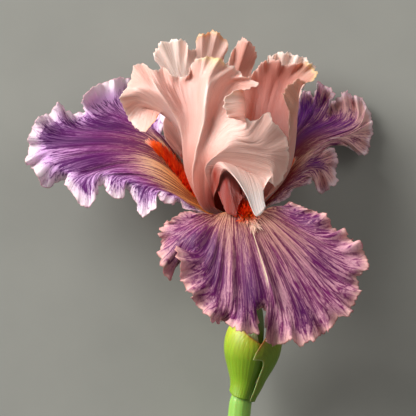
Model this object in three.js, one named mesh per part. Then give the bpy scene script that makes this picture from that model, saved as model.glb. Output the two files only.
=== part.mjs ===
// A bearded iris flower on its cut stem, lying on its back on a flat surface.
// Millimetres. The flower is drawn in its own upright frame: x to the right, y up the stem
// to the head, z to the front. At the end the whole flower is laid down, +Z up.
import * as THREE from 'three';

// ---- driving dimensions -------------------------------------------------------------------
const PETAL_THICKNESS = 0.75;
const PETAL_STEPS = 12; // rows of facets from a petal's claw to its margin
const CLAW_COLUMNS = 6; // facets across the narrow claw
const EVENING = 3; // how often the front standard's inner vertices are evened out
const CALMING = 2; // how often a blade's normals are
const STYLE_THICKNESS = 0.8;
const SPATHE_THICKNESS = 0.8;
const TUBE_TOP = -0.8; // the petals' claws stand just above this rim, at height 0
const OVARY_FOOT = -61;
const SEAT = 0.35; // clearance between pieces that touch
const STEM_RADIUS = 4.5;
const STEM_CUT = -150; // height of the cut end
const STEM_SIDES = 14;
const BEARD_HEIGHT = 2.6;
const TUFT = 0.35; // how far every second tuft stands over its neighbours, as a share
const ANTHER_LENGTH = 9;
// Lying down: the two rear falls and the stem's cut end touch the surface.
const HEAD_RAISED = THREE.MathUtils.degToRad(12.23);
const ROLLED = THREE.MathUtils.degToRad(-4.05);

// ---- curves and surfaces ------------------------------------------------------------------

// A smooth curve through a list of number lists, met at t from 0 to 1. knots spaces the points.
function along(points, t, knots) {
  const last = points.length - 1;
  const at = (i) => (knots ? knots[i] / knots[last] : i / last);
  let i = 0;
  while (i < last - 1 && t >= at(i + 1)) {
    i += 1;
  }
  const step = (j, n) => (points[j + 1][n] - points[j][n]) / (at(j + 1) - at(j));
  const slope = (j, n) => {
    if (j === 0) {
      return step(0, n);
    }
    if (j === last) {
      return step(last - 1, n);
    }
    const before = at(j) - at(j - 1);
    const after = at(j + 1) - at(j);
    return (step(j - 1, n) * after + step(j, n) * before) / (before + after);
  };
  const width = at(i + 1) - at(i);
  const s = (t - at(i)) / width;
  return points[i].map((value, n) => (
    (2 * s ** 3 - 3 * s ** 2 + 1) * value
    + (s ** 3 - 2 * s ** 2 + s) * width * slope(i, n)
    + (3 * s ** 2 - 2 * s ** 3) * points[i + 1][n]
    + (s ** 3 - s ** 2) * width * slope(i + 1, n)
  ));
}

// A sheet from claw (v = 0) to margin (v = 1). Each row crosses it from u = 0 to u = 1.
function sheetPoint(sheet, u, v) {
  return along(sheet.rows.map((row) => along(row, u)), v, sheet.reach);
}

// The triangles between two rows of vertices that need not hold the same number.
function strip(lower, upper) {
  const triangles = [];
  let i = 0;
  let j = 0;
  while (i < lower.length - 1 || j < upper.length - 1) {
    const nextLower = (i + 1) / (lower.length - 1);
    const nextUpper = (j + 1) / (upper.length - 1);
    if (j === upper.length - 1 || (i < lower.length - 1 && nextLower <= nextUpper)) {
      triangles.push([lower[i], lower[i + 1], upper[j]]);
      i += 1;
    } else {
      triangles.push([lower[i], upper[j + 1], upper[j]]);
      j += 1;
    }
  }
  return triangles;
}

// Each vertex's normal, calmed by its neighbours', so that tight folds keep their two faces apart.
function calmed(attribute, faces) {
  let normals = [];
  for (let i = 0; i < attribute.count; i += 1) {
    normals.push(new THREE.Vector3().fromBufferAttribute(attribute, i));
  }
  for (let pass = 0; pass < CALMING; pass += 1) {
    const sums = normals.map((n) => n.clone());
    for (const [a, b, c] of faces) {
      sums[a].add(normals[b]).add(normals[c]);
      sums[b].add(normals[c]).add(normals[a]);
      sums[c].add(normals[a]).add(normals[b]);
    }
    normals = sums.map((n) => n.normalize());
  }
  return normals;
}

// Draws every inner vertex towards the middle of its neighbours; the rim keeps its place.
function evened(points, faces, rim, passes) {
  const fixed = new Set(rim);
  const neighbours = points.map(() => new Set());
  for (const face of faces) {
    for (const a of face) {
      face.forEach((b) => neighbours[a].add(b));
    }
  }
  let now = points;
  for (let pass = 0; pass < passes; pass += 1) {
    const before = now;
    now = before.map((p, i) => {
      const middle = new THREE.Vector3();
      neighbours[i].forEach((b) => middle.add(before[b]));
      return fixed.has(i) ? p : p.clone().lerp(middle.divideScalar(neighbours[i].size), 0.6);
    });
  }
  return now;
}

// A closed blade of one thickness round a sheet. Both faces are split into triangles alike.
function blade(point, steps, columnsAt, thickness, evening = 0) {
  const drawn = [];
  const rows = [];
  for (let k = 0; k <= steps; k += 1) {
    const columns = columnsAt(k / steps);
    const row = [];
    for (let c = 0; c <= columns; c += 1) {
      row.push(drawn.length);
      drawn.push(new THREE.Vector3(...point(c / columns, k / steps)));
    }
    rows.push(row);
  }
  const faces = rows.slice(1).flatMap((row, k) => strip(rows[k], row));
  const rim = [
    ...rows[0],
    ...rows.slice(1).map((row) => row[row.length - 1]),
    ...rows[steps].slice(0, -1).reverse(),
    ...rows.slice(1, -1).map((row) => row[0]).reverse(),
  ];
  const middle = evened(drawn, faces, rim, evening);
  const sheet = new THREE.BufferGeometry().setFromPoints(middle);
  sheet.setIndex(faces.flat());
  sheet.computeVertexNormals();
  const across = calmed(sheet.getAttribute('normal'), faces);
  const offset = (side) => middle.map((p, i) => across[i].clone().multiplyScalar(side * thickness / 2).add(p));
  const under = middle.length;
  const edge = rim.flatMap((a, i) => {
    const b = rim[(i + 1) % rim.length];
    return [[b, a, a + under], [b, a + under, b + under]];
  });
  const solid = new THREE.BufferGeometry().setFromPoints([...offset(1), ...offset(-1)]);
  const back = faces.map(([a, b, c]) => [c + under, b + under, a + under]);
  solid.setIndex([...faces, ...back, ...edge].flat(2));
  return solid;
}

function sheetBlade(sheet, steps, firstColumns, thickness, evening) {
  const marginColumns = sheet.rows[sheet.rows.length - 1].length - 1;
  const columnsAt = (v) => Math.round(THREE.MathUtils.lerp(firstColumns, marginColumns, v ** 1.3));
  return blade((u, v) => sheetPoint(sheet, u, v), steps, columnsAt, thickness, evening);
}

// ---- the six petals: rows of points from claw to margin, reach = their distance along it -----

const FALL_FRONT = {
  reach: [0, 11, 26, 52, 68],
  rows: [
    [[-1.3, 0, 5.3], [1.1, 0, 5.4], [3.4, 0, 4.3]],
    [[-8, 0, 13], [1.5, 2.5, 15.5], [10, 1.5, 12]],
    [[-13.5, 0.8, 17], [-6, -2.5, 25], [4, -4, 28], [12, -1, 26], [15.5, 3, 16.5]],
    [[-16.4, 1.4, 18.2], [-23, -5.5, 24], [-19, -10.5, 29], [-13, -17.5, 33], [-6, -33.5, 36],
      [3.5, -36, 37], [11, -32, 37], [19, -37.5, 36], [31, -35, 35], [39, -27, 33],
      [42, -16, 30], [31, -6, 27], [19, 4.5, 17.5]],
    [[-18, 2, 18], [-21.5, 1, 19], [-25, -1, 22], [-28.5, -3.5, 19], [-30, -6.5, 23],
      [-29, -10, 19], [-30, -13.5, 22], [-29.5, -18.5, 27], [-26.5, -25, 22], [-24, -20.5, 21],
      [-20.5, -16.5, 27], [-23.5, -12.5, 35], [-21.5, -20, 37], [-21, -25.5, 33], [-18, -30, 37], [-15, -35, 33],
      [-11, -39, 38], [-8, -41.5, 34], [-5.5, -41, 27], [-2.5, -42.5, 37], [1, -44.5, 40],
      [5, -45.5, 38], [9, -45.5, 36], [7.5, -38.5, 30], [9.5, -36, 31], [11.5, -37.5, 33.5],
      [12, -48.5, 28], [15, -50.5, 24], [18.5, -50, 34], [21.5, -48, 38], [25, -50.5, 36],
      [30, -48.5, 38], [34, -46, 34], [37, -44, 37], [40.5, -39.5, 33], [44.5, -39, 36],
      [46, -35, 32], [49, -29, 34], [47.5, -27, 29], [49, -22.5, 30], [52, -20, 32],
      [51, -15.5, 28], [48.5, -9, 30], [45.5, -10, 24], [43.5, -6, 26], [38.5, -5, 22],
      [36.5, 0, 26], [31.5, 2, 21], [27, 3.5, 21], [21, 6, 18]],
  ],
};

const FALL_LEFT = {
  reach: [0, 10, 27, 58, 80],
  rows: [
    [[-5.5, 0, 0.3], [-5.2, 0, -1.9], [-3.8, 0, -4]],
    [[-9.5, 0.1, 2], [-12.5, 4.5, -3], [-11.5, 7, -8.5]],
    [[-12.5, 0.9, 3.8], [-27, 11, 3], [-31, 21.5, -3], [-30, 27.5, -11], [-25.5, 27, -17]],
    [[-14.3, 1, 4.5], [-26, 9, 6], [-35, 10.5, 7], [-43, 14.5, 4], [-52, 17, 3],
      [-60.5, 16, 4], [-69, 21, 1], [-73, 28, -3], [-70, 34.5, -9], [-60.5, 37.5, -17],
      [-52.5, 45, -25], [-41, 43.5, -30], [-29.8, 33, -21]],
    [[-15.5, 1, 5], [-19.5, 3, 8], [-23, 5.5, 4], [-25, 4.5, 8], [-29, 6, 10],
      [-32.5, 9, 6], [-31.5, 4.5, 12], [-34, 1, 12], [-37, 0, 13], [-39, 3, 9],
      [-41.5, 9, 4], [-45, 11, 2], [-44.5, 7.5, 8], [-47.5, 7, 10], [-51, 9.5, 8],
      [-52.5, 12.5, 2], [-55, 11.5, 3], [-55.5, 6.5, 10], [-58.5, 3.5, 12], [-62, 5, 11],
      [-65, 9.5, 9], [-68, 13, 6], [-67, 15.5, -4], [-71.5, 13, -2], [-76.5, 11.5, 2],
      [-79.5, 17, 4], [-82, 20, -3], [-84, 21.5, 1], [-82.5, 27, -5], [-83, 30.5, -2],
      [-81.5, 35, -9], [-80, 38.5, -5], [-77, 41, -12], [-75, 41, -15], [-71.5, 46, -10],
      [-69, 43, -16], [-65, 41.5, -26], [-61, 43.5, -28], [-62, 47, -18], [-59, 51, -20],
      [-57, 53, -25], [-52, 55, -32], [-49, 56, -30], [-46, 57, -38], [-42, 56, -42],
      [-37, 54.5, -46], [-33, 48, -38], [-30.5, 43.5, -29], [-27.5, 40.5, -21.5]],
  ],
};

const FALL_RIGHT = {
  reach: [0, 11, 28, 54, 70],
  rows: [
    [[5.3, 0, -1.3], [4.2, 0, -3.5], [2.2, 0, -5]],
    [[9.5, 2, -3.5], [11.5, 4.5, -9.5], [8, 5.5, -13]],
    [[13.5, 4, -5], [22.5, 15, -14], [25.5, 22.5, -21], [24, 29, -28], [15, 21, -25]],
    [[15.8, 5, -5.6], [23, 11.5, -11], [31.5, 17.5, -17], [36, 20, -20], [33.5, 24.5, -23],
      [42, 31, -29], [48, 33.5, -34], [51, 38, -38], [45, 41, -40], [37.5, 40, -41],
      [33, 44, -43], [27, 41, -40], [19, 31.5, -33]],
    [[17.5, 5.5, -6], [21, 7, -9], [23.5, 10.5, -10], [26, 13, -14], [29, 13, -10],
      [31, 14, -14], [32, 16, -20], [33, 13, -17], [33.5, 10, -14], [36, 9.5, -19],
      [39, 11.5, -15], [42, 14, -20], [41, 17.5, -24], [42, 21.5, -20], [41.5, 25, -25],
      [40.5, 27.5, -22], [37.5, 27, -25], [41, 30, -31], [44, 29, -36], [47, 28.5, -33],
      [51, 26, -37], [53.5, 24.5, -34], [55.5, 27.5, -42], [56, 31, -40], [57, 33.5, -45],
      [57, 37.5, -42], [56.5, 42, -47], [54.5, 45, -43], [53, 48.5, -48], [50, 49.5, -43],
      [49, 49, -48], [47, 51, -43], [45, 51, -40], [43, 48.5, -47], [40.5, 48, -50],
      [39, 44, -47], [39, 46, -42.5], [41, 49.5, -40], [40, 52.5, -45], [37, 54, -48],
      [34.5, 55, -40], [33.5, 49.5, -47], [31, 51, -50], [29, 51.5, -46], [27, 50, -42],
      [27.5, 45, -48], [26, 41.5, -44], [23.5, 40, -40], [21, 37, -36]],
  ],
};

const STANDARD_FRONT = {
  reach: [0, 10, 26, 44, 60, 72],
  rows: [
    [[-5.2, 0, 1.7], [-4.2, 0, 3.5], [-2.2, 0, 5]],
    [[-11.5, 4.6, 2.8], [-12.5, 3, 8.5], [-7, 2.5, 11]],
    [[-16, 10.5, 0], [-19.5, 17, 6], [-18.5, 19.5, 12], [-16, 21, 16.5], [-12, 20.5, 18],
      [-10.5, 14.5, 17.5], [-8.4, 6, 13]],
    [[-18.5, 17.5, -2], [-21.5, 33, 4], [-23, 38, 12], [-18.5, 38.5, 13.5], [-12.7, 38.5, 20],
      [-8.5, 36.5, 17], [-2, 29, 25], [-10.5, 19, 20.5], [-8.2, 8.6, 15.3]],
    [[-20, 26.5, -4], [-27, 42.5, 2], [-36.5, 43.5, 5], [-36.5, 50.5, 9.5], [-30.5, 51.5, 10],
      [-24, 51.5, 8], [-16, 53, 11.5], [-9.8, 53, 17.5], [-0.5, 52.5, 9.5], [4, 45.2, 20.5],
      [4.5, 33, 25.5], [13, 25.5, 23], [11, 15, 22], [-6, 21, 23], [-7.4, 10.6, 17.8]],
    [[-20.5, 29.5, -6], [-22.5, 34, -4.5], [-25, 39, -2], [-27.5, 42, 2], [-30.5, 40.5, 8],
      [-33.6, 35.4, 11], [-36, 33.6, 11], [-39, 34.6, 6], [-42, 38, 2.5], [-44, 42, 4],
      [-45.8, 47, 9], [-44.5, 49.5, 7], [-42.5, 52.5, 3], [-41.5, 56, 1], [-40.5, 59.8, -2],
      [-37.2, 61.5, -4], [-34.8, 59.5, 2], [-32, 58, 5], [-29.5, 59, 0], [-27.2, 58.8, 3],
      [-25.5, 56, 9], [-22.5, 55.5, 7], [-19, 56, 11.5], [-17.6, 60, 8], [-15.5, 62, 11.5],
      [-12.6, 63, 13], [-9, 63, 12], [-6, 62.5, 14], [-4, 60.5, 9], [-1, 59.4, 11.5],
      [1.5, 57.5, 9], [3.5, 55.6, 12], [6.5, 54, 10.5], [9.2, 52.2, 14.5], [5.5, 50.2, 21],
      [-0.5, 49.2, 25], [-4.6, 45.4, 27], [-4, 41.5, 27], [-2.2, 38.4, 26.5], [3, 38.6, 23.5],
      [8, 37.6, 22], [12.6, 41, 17.5], [15.4, 36.8, 20], [19.8, 32, 15.5], [21, 26.5, 17.5],
      [20.5, 18.5, 16], [16, 11.5, 20.5], [13, 13.8, 24], [10.4, 8, 25], [11.6, 3.2, 28],
      [8, 0, 31], [5, 6.6, 30], [2, 12.4, 29], [-1.5, 17.2, 27], [-4.4, 18.8, 25],
      [-6, 15.8, 22], [-6.6, 12.6, 19.8]],
  ],
};

const STANDARD_RIGHT = {
  reach: [0, 10, 26, 46, 58, 66],
  rows: [
    [[5.5, 0, -0.6], [5.2, 0, 1.9], [3.8, 0, 4]],
    [[8, 6.5, -2.5], [12, 6, 2], [8, 3.5, 7.5]],
    [[8, 19, -9.5], [15.5, 19.5, -7], [21, 18.5, 0], [20.5, 17, 8], [12, 7, 9.5]],
    [[4.5, 34.5, -14], [9, 39, -16], [15.5, 41.5, -15], [22, 41.5, -9], [25, 41, 0],
      [21.5, 29, 8.5], [14.3, 8.8, 10.3]],
    [[3.5, 38.5, -13], [9, 53, -17], [15, 55, -15], [21, 55, -13], [26.5, 53.5, -6],
      [25.5, 49.5, 3], [23, 41, 8.5], [20.8, 28.5, 10], [15.3, 9.8, 10.7]],
    [[3, 42.5, -14], [2, 47, -14], [3, 52, -15], [5.5, 56, -14.5], [8.5, 59, -16],
      [10, 61, -13.5], [12, 62.5, -11.5], [14, 62.4, -12.5], [16, 63, -10.5], [18, 62.5, -8],
      [19.5, 60.5, -11], [22, 61, -8.5], [25, 61.4, -6.5], [27.5, 62, -8], [30, 61.5, -5],
      [31.5, 59.5, -6], [33, 57, -2], [31.5, 54.5, 1.5], [29.5, 53.5, 1], [27, 54, 4],
      [25, 54.5, 7], [22.5, 53, 6.5], [20, 51, 9.5], [19, 49, 8.5], [19.5, 46, 11],
      [21, 43, 9.5], [21.5, 40, 11.5], [21, 37, 10.5], [21.5, 33, 12.5], [21, 26.5, 12],
      [19.5, 20.5, 13], [18, 15, 12], [16, 10.5, 11]],
  ],
};

const STANDARD_BACK = {
  reach: [0, 10, 26, 48, 66, 78],
  rows: [
    [[-3.2, 0, -4.4], [-1, 0, -5.4], [1.5, 0, -5.3]],
    [[-6, 5, -9], [-1, 6.5, -12], [4.5, 5, -11]],
    [[-12, 14, -11], [-7, 17.5, -17.5], [1, 18.5, -19], [7, 17.5, -18], [9.5, 13, -13.2]],
    [[-19.8, 21.5, -12.5], [-16.5, 37.5, -21], [-7.5, 40, -25.5], [1, 41, -27], [10, 40, -26.5],
      [17, 37.5, -24], [16.5, 22.5, -17.5]],
    [[-25.8, 28, -14], [-25, 49.5, -21.5], [-24.5, 59, -24], [-19, 60, -25], [-13, 62.5, -26],
      [-7, 61, -27], [-2.5, 55, -28], [3, 57.5, -28], [9, 51, -31], [16.5, 56, -33],
      [23, 54.5, -32], [25, 46.5, -29], [20.5, 27.5, -19.8]],
    [[-28, 31, -14.5], [-29, 36.5, -16], [-28, 43, -18], [-28.5, 50.5, -21], [-29, 58, -21.5],
      [-31, 62, -23.5], [-33, 65, -22.5], [-31.5, 68.5, -24.5], [-30, 70.5, -23], [-26, 71.5, -25.5],
      [-23, 72, -23.5], [-19.5, 71, -25.5], [-19, 68.5, -22], [-17, 67.5, -25], [-15, 69, -27],
      [-15.5, 72.5, -25.5], [-13, 74, -23], [-10, 75, -25.5], [-7, 75, -23.5], [-5, 73, -26.5],
      [-2.5, 70, -25], [-4, 65.5, -27.5], [-4.5, 61, -25.5], [-2.5, 62.5, -28], [-1.5, 65.5, -25.5],
      [1, 70, -27.5], [3.5, 72.5, -24], [5.5, 71, -20.5], [8, 69, -26], [9, 65, -29.5],
      [7, 59.5, -28.5], [7.5, 56, -32], [10.5, 57, -34.5], [13, 61, -32], [14, 65.5, -35],
      [16, 65.5, -32], [17.5, 67, -35], [20.5, 67, -32], [23, 66.5, -35], [26, 65.5, -32],
      [28.5, 65, -34], [31, 63, -31], [33, 60.5, -32], [31, 57, -29], [28.5, 53, -30.5],
      [26, 47, -28], [25, 41.5, -27.5], [23.5, 36, -24], [22.5, 30.5, -21]],
  ],
};

// ---- beards: a brush of hairs along a fall's midrib ----------------------------------------
// path: [u, v] on the fall, throat first. up: which side of the fall's sheet is its upper side.
// half: half the width of the band of hairs.

const BEARDS = {
  beard_front: { fall: FALL_FRONT, up: -1, half: 3.2, path: [[0.52, 0.1], [0.56, 0.22], [0.59, 0.36]] },
  beard_left: { fall: FALL_LEFT, up: 1, half: 3.2, path: [[0.5, 0.17], [0.62, 0.26], [0.66, 0.36]] },
  beard_right: { fall: FALL_RIGHT, up: -1, half: 2.6, path: [[0.5, 0.17], [0.5, 0.26], [0.5, 0.36]] },
};
const BEARD_ROWS = 22;
const BEARD_COLUMNS = 8;

function sheetFrame(sheet, u, v) {
  const h = 0.01;
  const p = new THREE.Vector3(...sheetPoint(sheet, u, v));
  const across = new THREE.Vector3(...sheetPoint(sheet, u + h, v)).sub(p);
  const outward = new THREE.Vector3(...sheetPoint(sheet, u, v + h)).sub(p);
  return { p, across, outward, normal: across.clone().cross(outward).normalize(), h };
}

function beard({ fall, up, half, path }) {
  const rows = [];
  for (let k = 0; k <= BEARD_ROWS; k += 1) {
    const s = k / BEARD_ROWS;
    const [u, v] = along(path, s);
    const widest = Math.min(1, 0.35 + 1.6 * s) * Math.min(1, 0.25 + 2.4 * (1 - s));
    const perU = sheetFrame(fall, u, v).across.length() / 0.01;
    const row = [];
    for (let c = 0; c <= BEARD_COLUMNS; c += 1) {
      const side = 2 * c / BEARD_COLUMNS - 1;
      const { p, normal } = sheetFrame(fall, u + side * widest * half / perU, v);
      normal.multiplyScalar(up);
      const crown = Math.sqrt(Math.max(0, 1 - side * side)) * Math.sqrt(Math.max(0, 1 - (2 * s - 1) ** 4));
      const tuft = (k + c) % 2 === 0 ? 1 + TUFT : 1 - TUFT;
      const low = PETAL_THICKNESS / 2 + SEAT;
      const high = low + 0.6 + BEARD_HEIGHT * crown * tuft;
      row.push([p.clone().addScaledVector(normal, low), p.clone().addScaledVector(normal, high)]);
    }
    rows.push(row);
  }
  return gridSolid(rows);
}

// A closed solid between two faces of one grid: each cell holds its low and its high point.
function gridSolid(rows) {
  const columns = rows[0].length;
  const low = rows.flat().map((pair) => pair[0]);
  const high = rows.flat().map((pair) => pair[1]);
  const index = (k, c) => k * columns + c;
  const faces = [];
  for (let k = 0; k < rows.length - 1; k += 1) {
    for (let c = 0; c < columns - 1; c += 1) {
      faces.push([index(k, c), index(k, c + 1), index(k + 1, c + 1)]);
      faces.push([index(k, c), index(k + 1, c + 1), index(k + 1, c)]);
    }
  }
  const rim = [];
  for (let c = 0; c < columns; c += 1) {
    rim.push(index(0, c));
  }
  for (let k = 1; k < rows.length; k += 1) {
    rim.push(index(k, columns - 1));
  }
  for (let c = columns - 2; c >= 0; c -= 1) {
    rim.push(index(rows.length - 1, c));
  }
  for (let k = rows.length - 2; k > 0; k -= 1) {
    rim.push(index(k, 0));
  }
  const under = high.length;
  const edge = rim.flatMap((a, i) => {
    const b = rim[(i + 1) % rim.length];
    return [[b, a, a + under], [b, a + under, b + under]];
  });
  const back = faces.map(([a, b, c]) => [c + under, b + under, a + under]);
  const solid = new THREE.BufferGeometry().setFromPoints([...high, ...low]);
  solid.setIndex([...faces, ...back, ...edge].flat(2));
  return facingOut(solid);
}

// Turns a closed solid's faces outward.
function facingOut(solid) {
  const place = solid.getAttribute('position');
  const index = Array.from(solid.getIndex().array);
  const corner = (i) => new THREE.Vector3().fromBufferAttribute(place, index[i]);
  let volume = 0;
  for (let i = 0; i < index.length; i += 3) {
    volume += corner(i).dot(corner(i + 1).cross(corner(i + 2)));
  }
  if (volume < 0) {
    solid.setIndex(index.reverse());
  }
  return solid;
}

// ---- style arms: three petal-like straps from the middle, each arched over a fall ------------

const STYLES = {
  style_arm_front: {
    reach: [0, 10, 20, 27, 33],
    rows: [
      [[-1.6, 0, 1.4], [-0.2, 0, 2.3], [1.4, 0, 1.6]],
      [[-8.6, 4.5, 5.5], [-2.2, 11, 9.5], [2.8, 7.2, 8]],
      [[-7.4, 10.8, 13], [-4, 17.6, 17.5], [1.8, 13.6, 16]],
      [[-6, 7.6, 18.6], [-3, 11, 22.8], [1.8, 9, 21.4]],
      [[-4.4, 3.4, 22], [-3.2, 1, 23.8], [-1.4, 0.4, 24.6], [0.4, 0, 24.6], [1.2, 4, 23.2], [3, 7.4, 22.6]],
    ],
  },
  style_arm_left: {
    reach: [0, 10, 18, 25],
    rows: [
      [[-2.2, 0, 0.6], [-2.1, 0, -0.9], [-1.1, 0, -2.1]],
      [[-7.4, 10, -0.6], [-7, 11, -3.2], [-5.4, 10.6, -6.2]],
      [[-13.6, 17, -3.4], [-13.4, 19, -6], [-11.8, 19, -9.4]],
      [[-18.6, 21.2, -4.4], [-21.8, 24, -4.4], [-20.6, 25, -6.6], [-19.8, 26.8, -9], [-16.4, 24.8, -11]],
    ],
  },
  style_arm_right: {
    reach: [0, 9, 16, 22],
    rows: [
      [[2.2, 0, 0.2], [1.8, 0, -1.3], [0.7, 0, -2.2]],
      [[7.6, 8.4, -5.4], [6.6, 9.2, -7.2], [5, 8.8, -8.6]],
      [[13, 12.8, -9.6], [12.4, 14.4, -11.8], [10.8, 13.4, -13.4]],
      [[17.2, 16.8, -10.4], [18.2, 19.4, -12], [16.4, 18.4, -13.6], [15.4, 19.8, -15.6], [13.4, 17, -15]],
    ],
  },
};

// ---- stamens: a slim filament that ends in an anther, close under each style arm --------------

const STAMENS = {
  stamen_front: [[-0.4, 0, 3.7], [-0.6, 5.4, 8.8], [-1.4, 8.4, 14.8], [-2, 8.2, 18.6]],
  stamen_left: [[-3.6, 0, -1.6], [-8, 6.6, -4], [-12.5, 12, -6.2], [-16.4, 15.6, -7.4]],
  stamen_right: [[3, 0, -2.6], [6.6, 5.6, -7.2], [9.4, 9.4, -10.8], [11.4, 11.6, -13.2]],
};
const FILAMENT_RADIUS = 0.6;
const ANTHER_RADIUS = 1;
const STAMEN_SIDES = 8;

function stamen(points) {
  const path = new THREE.CatmullRomCurve3(points.map((p) => new THREE.Vector3(...p)));
  const length = path.getLength();
  const start = 1 - ANTHER_LENGTH / length;
  const radius = (t) => {
    const within = (t - start) / (1 - start);
    return within < 0 ? FILAMENT_RADIUS : THREE.MathUtils.lerp(
      FILAMENT_RADIUS, ANTHER_RADIUS, Math.sin(Math.PI * Math.min(1, within * 0.92 + 0.04)),
    );
  };
  return spindle(path, 14, STAMEN_SIDES, radius);
}

// A rod of changing radius along a curve, with flat ends.
function spindle(path, steps, sides, radius) {
  const frames = path.computeFrenetFrames(steps, false);
  const points = [];
  for (let k = 0; k <= steps; k += 1) {
    const centre = path.getPointAt(k / steps);
    for (let c = 0; c < sides; c += 1) {
      const turn = 2 * Math.PI * c / sides;
      const r = radius(k / steps);
      points.push(centre.clone()
        .addScaledVector(frames.normals[k], r * Math.cos(turn))
        .addScaledVector(frames.binormals[k], r * Math.sin(turn)));
    }
  }
  const faces = [];
  for (let k = 0; k < steps; k += 1) {
    for (let c = 0; c < sides; c += 1) {
      const a = k * sides + c;
      const b = k * sides + (c + 1) % sides;
      faces.push([a, b, b + sides], [a, b + sides, a + sides]);
    }
  }
  const first = points.length;
  points.push(path.getPointAt(0), path.getPointAt(1));
  for (let c = 0; c < sides; c += 1) {
    const next = (c + 1) % sides;
    faces.push([next, c, first], [steps * sides + c, steps * sides + next, first + 1]);
  }
  const rod = new THREE.BufferGeometry().setFromPoints(points);
  rod.setIndex(faces.flat());
  return facingOut(rod);
}

// ---- stem, ovary with the perianth tube, and the spathe's valves ------------------------------

// The stem's middle line: [x, z] at heights LEAN_HEIGHTS, from the cut end to the flower's heart.
const LEAN_HEIGHTS = [-150, -110, -80, -74, -67, -60, -51.5, -38, -26, -12, 0];
const LEAN = [[-1.2, 0], [-0.4, 0], [1.6, -0.5], [2.3, -0.6], [4.2, -0.8], [5.6, -1], [6.4, -1],
  [6.8, -1], [5, -1], [2.2, -0.5], [0.3, 0]];

function leanAt(y) {
  const last = LEAN_HEIGHTS.length - 1;
  const share = (y - LEAN_HEIGHTS[0]) / (LEAN_HEIGHTS[last] - LEAN_HEIGHTS[0]);
  return along(LEAN, share, LEAN_HEIGHTS.map((h) => h - LEAN_HEIGHTS[0]));
}

function followLean(geometry) {
  const place = geometry.getAttribute('position');
  for (let i = 0; i < place.count; i += 1) {
    const [x, z] = leanAt(place.getY(i));
    place.setXYZ(i, place.getX(i) + x, place.getY(i), place.getZ(i) + z);
  }
  return geometry;
}

function turned(profile, sides) {
  const points = profile.map(([r, y]) => new THREE.Vector2(r, y));
  return followLean(new THREE.LatheGeometry(points, sides));
}

const STEM_PROFILE = [
  [0, STEM_CUT], [STEM_RADIUS - 0.3, STEM_CUT], [STEM_RADIUS, STEM_CUT + 0.5],
  [STEM_RADIUS, -130], [STEM_RADIUS, -110], [STEM_RADIUS, -95], [STEM_RADIUS, -84],
  [STEM_RADIUS, -78], [STEM_RADIUS, -74], [4.1, -70], [4.1, -66], [4, OVARY_FOOT - SEAT],
  [0, OVARY_FOOT - SEAT],
];

const OVARY_PROFILE = [
  [0, OVARY_FOOT], [4, OVARY_FOOT], [4.6, -56], [4.8, -50], [4.7, -44], [4.2, -38], [3.4, -33],
  [3.1, -26], [3.2, -18], [3.8, -10], [5, -4], [6.2, TUBE_TOP - 0.8], [6.2, TUBE_TOP], [0, TUBE_TOP],
];

// A valve is a sheet of [angle in degrees, height]: 0 is to the right, 90 to the front.
// swell: its [height, radius] from foot to tip.
const SPATHE_LEFT = {
  swell: [[-75, 5.25], [-70, 5.3], [-67, 5.7], [-60, 8.4], [-56, 9.8], [-51.5, 10.4], [-47, 9.9],
    [-43, 8.4], [-40, 7]],
  reach: [0, 12, 24, 30],
  rows: [
    [[72, -73.5], [90, -73.2], [135, -71.5], [180, -69.8], [230, -71], [288, -73]],
    [[64, -62], [110, -62], [180, -61], [240, -61], [292, -62]],
    [[56, -56], [90, -52], [130, -48.5], [180, -47], [240, -48.5], [300, -54]],
    [[52, -53.5], [70, -50.8], [90, -48.4], [112, -45.6], [150, -43.2], [190, -42.6], [225, -43.5],
      [262, -46.4], [302, -52]],
  ],
};
const SPATHE_RIGHT = {
  swell: [[-76, 5.25], [-74, 5.4], [-70, 6.5], [-66, 7.5], [-60, 10], [-56, 11.4], [-51.5, 12],
    [-47, 11.5], [-43, 10.1]],
  reach: [0, 10, 20, 28],
  rows: [
    [[48, -74.2], [20, -74.2], [-20, -74], [-50, -73.8]],
    [[55, -65], [25, -65.5], [-20, -65.5], [-54, -65]],
    [[62, -58], [45, -56], [0, -55], [-45, -56], [-76, -58.5]],
    [[84, -57.2], [80, -54.4], [70, -50.8], [60, -48.2], [40, -45.8], [10, -45], [-25, -46.6],
      [-55, -50], [-80, -55]],
  ],
};
const INNER_BRACT = {
  swell: [[-62, 4.9], [-57, 5.6], [-51, 6.2], [-45, 6], [-40, 5.4]],
  reach: [0, 10, 18],
  rows: [
    [[62, -60.5], [130, -60.5], [215, -60.5]],
    [[60, -52], [130, -51], [212, -52]],
    [[72, -46.5], [95, -43.4], [135, -41.6], [170, -42.6], [200, -47]],
  ],
};

function valvePoint(valve, u, v) {
  const [degrees, y] = sheetPoint(valve, u, v);
  const foot = valve.swell[0][0];
  const tip = valve.swell[valve.swell.length - 1][0];
  const share = THREE.MathUtils.clamp((y - foot) / (tip - foot), 0, 1);
  const [, r] = along(valve.swell, share, valve.swell.map(([height]) => height - foot));
  const [x, z] = leanAt(y);
  const turn = THREE.MathUtils.degToRad(degrees);
  return [x + r * Math.cos(turn), y, z + r * Math.sin(turn)];
}

function valve(sheet, columns) {
  return blade((u, v) => valvePoint(sheet, u, v), 8, () => columns, SPATHE_THICKNESS);
}

// ---- assembly -------------------------------------------------------------------------------

const flower = new THREE.Group();

function piece(name, geometry, color, roughness) {
  const mesh = new THREE.Mesh(geometry, new THREE.MeshStandardMaterial({ color, roughness, metalness: 0 }));
  mesh.name = name;
  flower.add(mesh);
}

const petal = (sheet, evening) => (
  sheetBlade(sheet, PETAL_STEPS, CLAW_COLUMNS, PETAL_THICKNESS, evening)
);

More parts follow.
